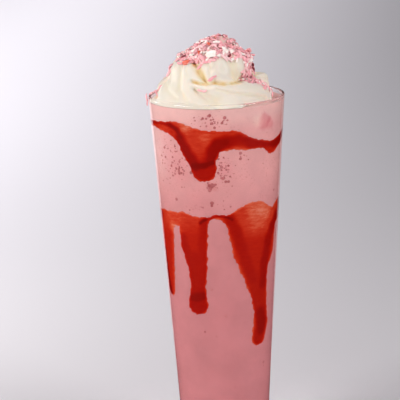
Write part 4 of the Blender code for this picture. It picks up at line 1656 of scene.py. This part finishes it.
class MILKSHAKE_OT_bubbles(bpy.types.Operator):
    """Bubbles in the froth against the glass"""

    bl_idname = "milkshake.bubbles"
    bl_label = "Bubbles"

    def execute(self, context):
        settings = context.scene.milkshake
        bm = bmesh.new()
        bmesh.ops.create_icosphere(bm, subdivisions=2, radius=1.0)
        bmesh.ops.scale(bm, vec=(1.0, 1.0, BUBBLE_FLATNESS), verts=bm.verts)
        mesh = bpy.data.meshes.new("bubble")
        bm.to_mesh(mesh)
        bm.free()
        mesh.shade_smooth()
        form = bpy.data.objects.new("bubble", mesh)
        context.scene.collection.objects.link(form)
        forms = forms_collection("bubble_forms", (form,))
        finish = bubble_material()
        spots = bubble_spots(settings.seed)
        size, seed = settings.bubble_size, settings.seed
        piece = scattered("froth_bubbles", spots, forms, finish, size, BUBBLE_SPREAD, seed)
        finish_piece(piece, "froth", finish)
        drop_collection(forms)
        return {"FINISHED"}


def area_light(name, place, turn, size, watts, colour, spread):
    lamp = bpy.data.lights.new(name, "AREA")
    lamp.shape = "RECTANGLE"
    lamp.size, lamp.size_y = size
    lamp.energy = watts
    lamp.color = colour
    lamp.spread = math.radians(spread)
    holder = bpy.data.objects.new(name, lamp)
    holder.location = place
    holder.rotation_euler = turn
    holder.visible_camera = False
    bpy.context.scene.collection.objects.link(holder)
    return holder


def photo_camera():
    """The camera, turned by pitch, yaw and roll from a level look along +Y."""
    camera = bpy.data.cameras.new("camera")
    camera.lens = CAMERA_LENS
    camera.sensor_width = SENSOR
    camera.clip_end = 30.0
    holder = bpy.data.objects.new("camera", camera)
    pitch, yaw, roll = (math.radians(a) for a in (CAMERA_PITCH, CAMERA_YAW, CAMERA_ROLL))
    level = math.cos(pitch)
    ahead = Vector((math.sin(yaw) * level, math.cos(yaw) * level, -math.sin(pitch)))
    side = ahead.cross(Vector((0, 0, 1))).normalized()
    above = side.cross(ahead)
    right = side * math.cos(roll) + above * math.sin(roll)
    up = above * math.cos(roll) - side * math.sin(roll)
    turn = Matrix((right, up, -ahead)).transposed().to_4x4()
    holder.matrix_world = Matrix.Translation(CAMERA_PLACE) @ turn
    return holder


class MILKSHAKE_OT_stage(bpy.types.Operator):
    """Pale floor, soft studio light and the camera"""

    bl_idname = "milkshake.stage"
    bl_label = "Floor, light and camera"

    def execute(self, context):
        scene = context.scene
        finish = floor_material()
        for name, outline in (("floor_behind", FLOOR_BEHIND), ("floor_around", FLOOR_AROUND)):
            floor = mesh_piece(name, outline, (tuple(range(len(outline))),))
            floor.data.materials.append(finish)
            floor.visible_glossy = name == "floor_behind"
        world = bpy.data.worlds.new("studio")
        world.use_nodes = True
        backing = world.node_tree.nodes["Background"]
        set_inputs(world.node_tree, backing, Color=WORLD_COLOUR, Strength=WORLD_STRENGTH)
        scene.world = world
        world.cycles_visibility.glossy = False
        for name, place, target, *rest in LAMPS:
            turn = (Vector(target) - Vector(place)).to_track_quat("-Z", "Y").to_euler()
            area_light(name, place, turn, *rest)
        wash = area_light("wash", WASH_PLACE, [math.radians(a) for a in WASH_TURN], *WASH)
        wash.visible_transmission = False
        scene.camera = photo_camera()
        scene.collection.objects.link(scene.camera)
        scene.view_settings.view_transform = "Standard"
        return {"FINISHED"}


class MILKSHAKE_PT_panel(bpy.types.Panel):
    """Milkshake tools"""

    bl_idname = "MILKSHAKE_PT_panel"
    bl_label = "Milkshake"
    bl_space_type = "VIEW_3D"
    bl_region_type = "UI"
    bl_category = "Milkshake"

    def draw(self, context):
        settings = context.scene.milkshake
        column = self.layout.column()
        for name in settings.bl_rna.properties.keys():
            if name not in {"rna_type", "name"}:
                column.prop(settings, name)
        for operator in OPERATORS:
            column.operator(operator.bl_idname)


OPERATORS = (
    MILKSHAKE_OT_glass,
    MILKSHAKE_OT_drink,
    MILKSHAKE_OT_sauce,
    MILKSHAKE_OT_cream,
    MILKSHAKE_OT_curls,
    MILKSHAKE_OT_bubbles,
    MILKSHAKE_OT_stage,
)


def register():
    for item in (MilkshakeSettings, *OPERATORS, MILKSHAKE_PT_panel):
        bpy.utils.register_class(item)
    bpy.types.Scene.milkshake = PointerProperty(type=MilkshakeSettings)


def unregister():
    del bpy.types.Scene.milkshake
    for item in (MILKSHAKE_PT_panel, *reversed(OPERATORS), MilkshakeSettings):
        bpy.utils.unregister_class(item)


def main():
    register()
    bpy.ops.milkshake.glass()
    bpy.ops.milkshake.drink()
    bpy.ops.milkshake.sauce()
    bpy.ops.milkshake.cream()
    bpy.ops.milkshake.curls()
    bpy.ops.milkshake.bubbles()
    bpy.ops.milkshake.stage()


if __name__ == "__main__":
    main()
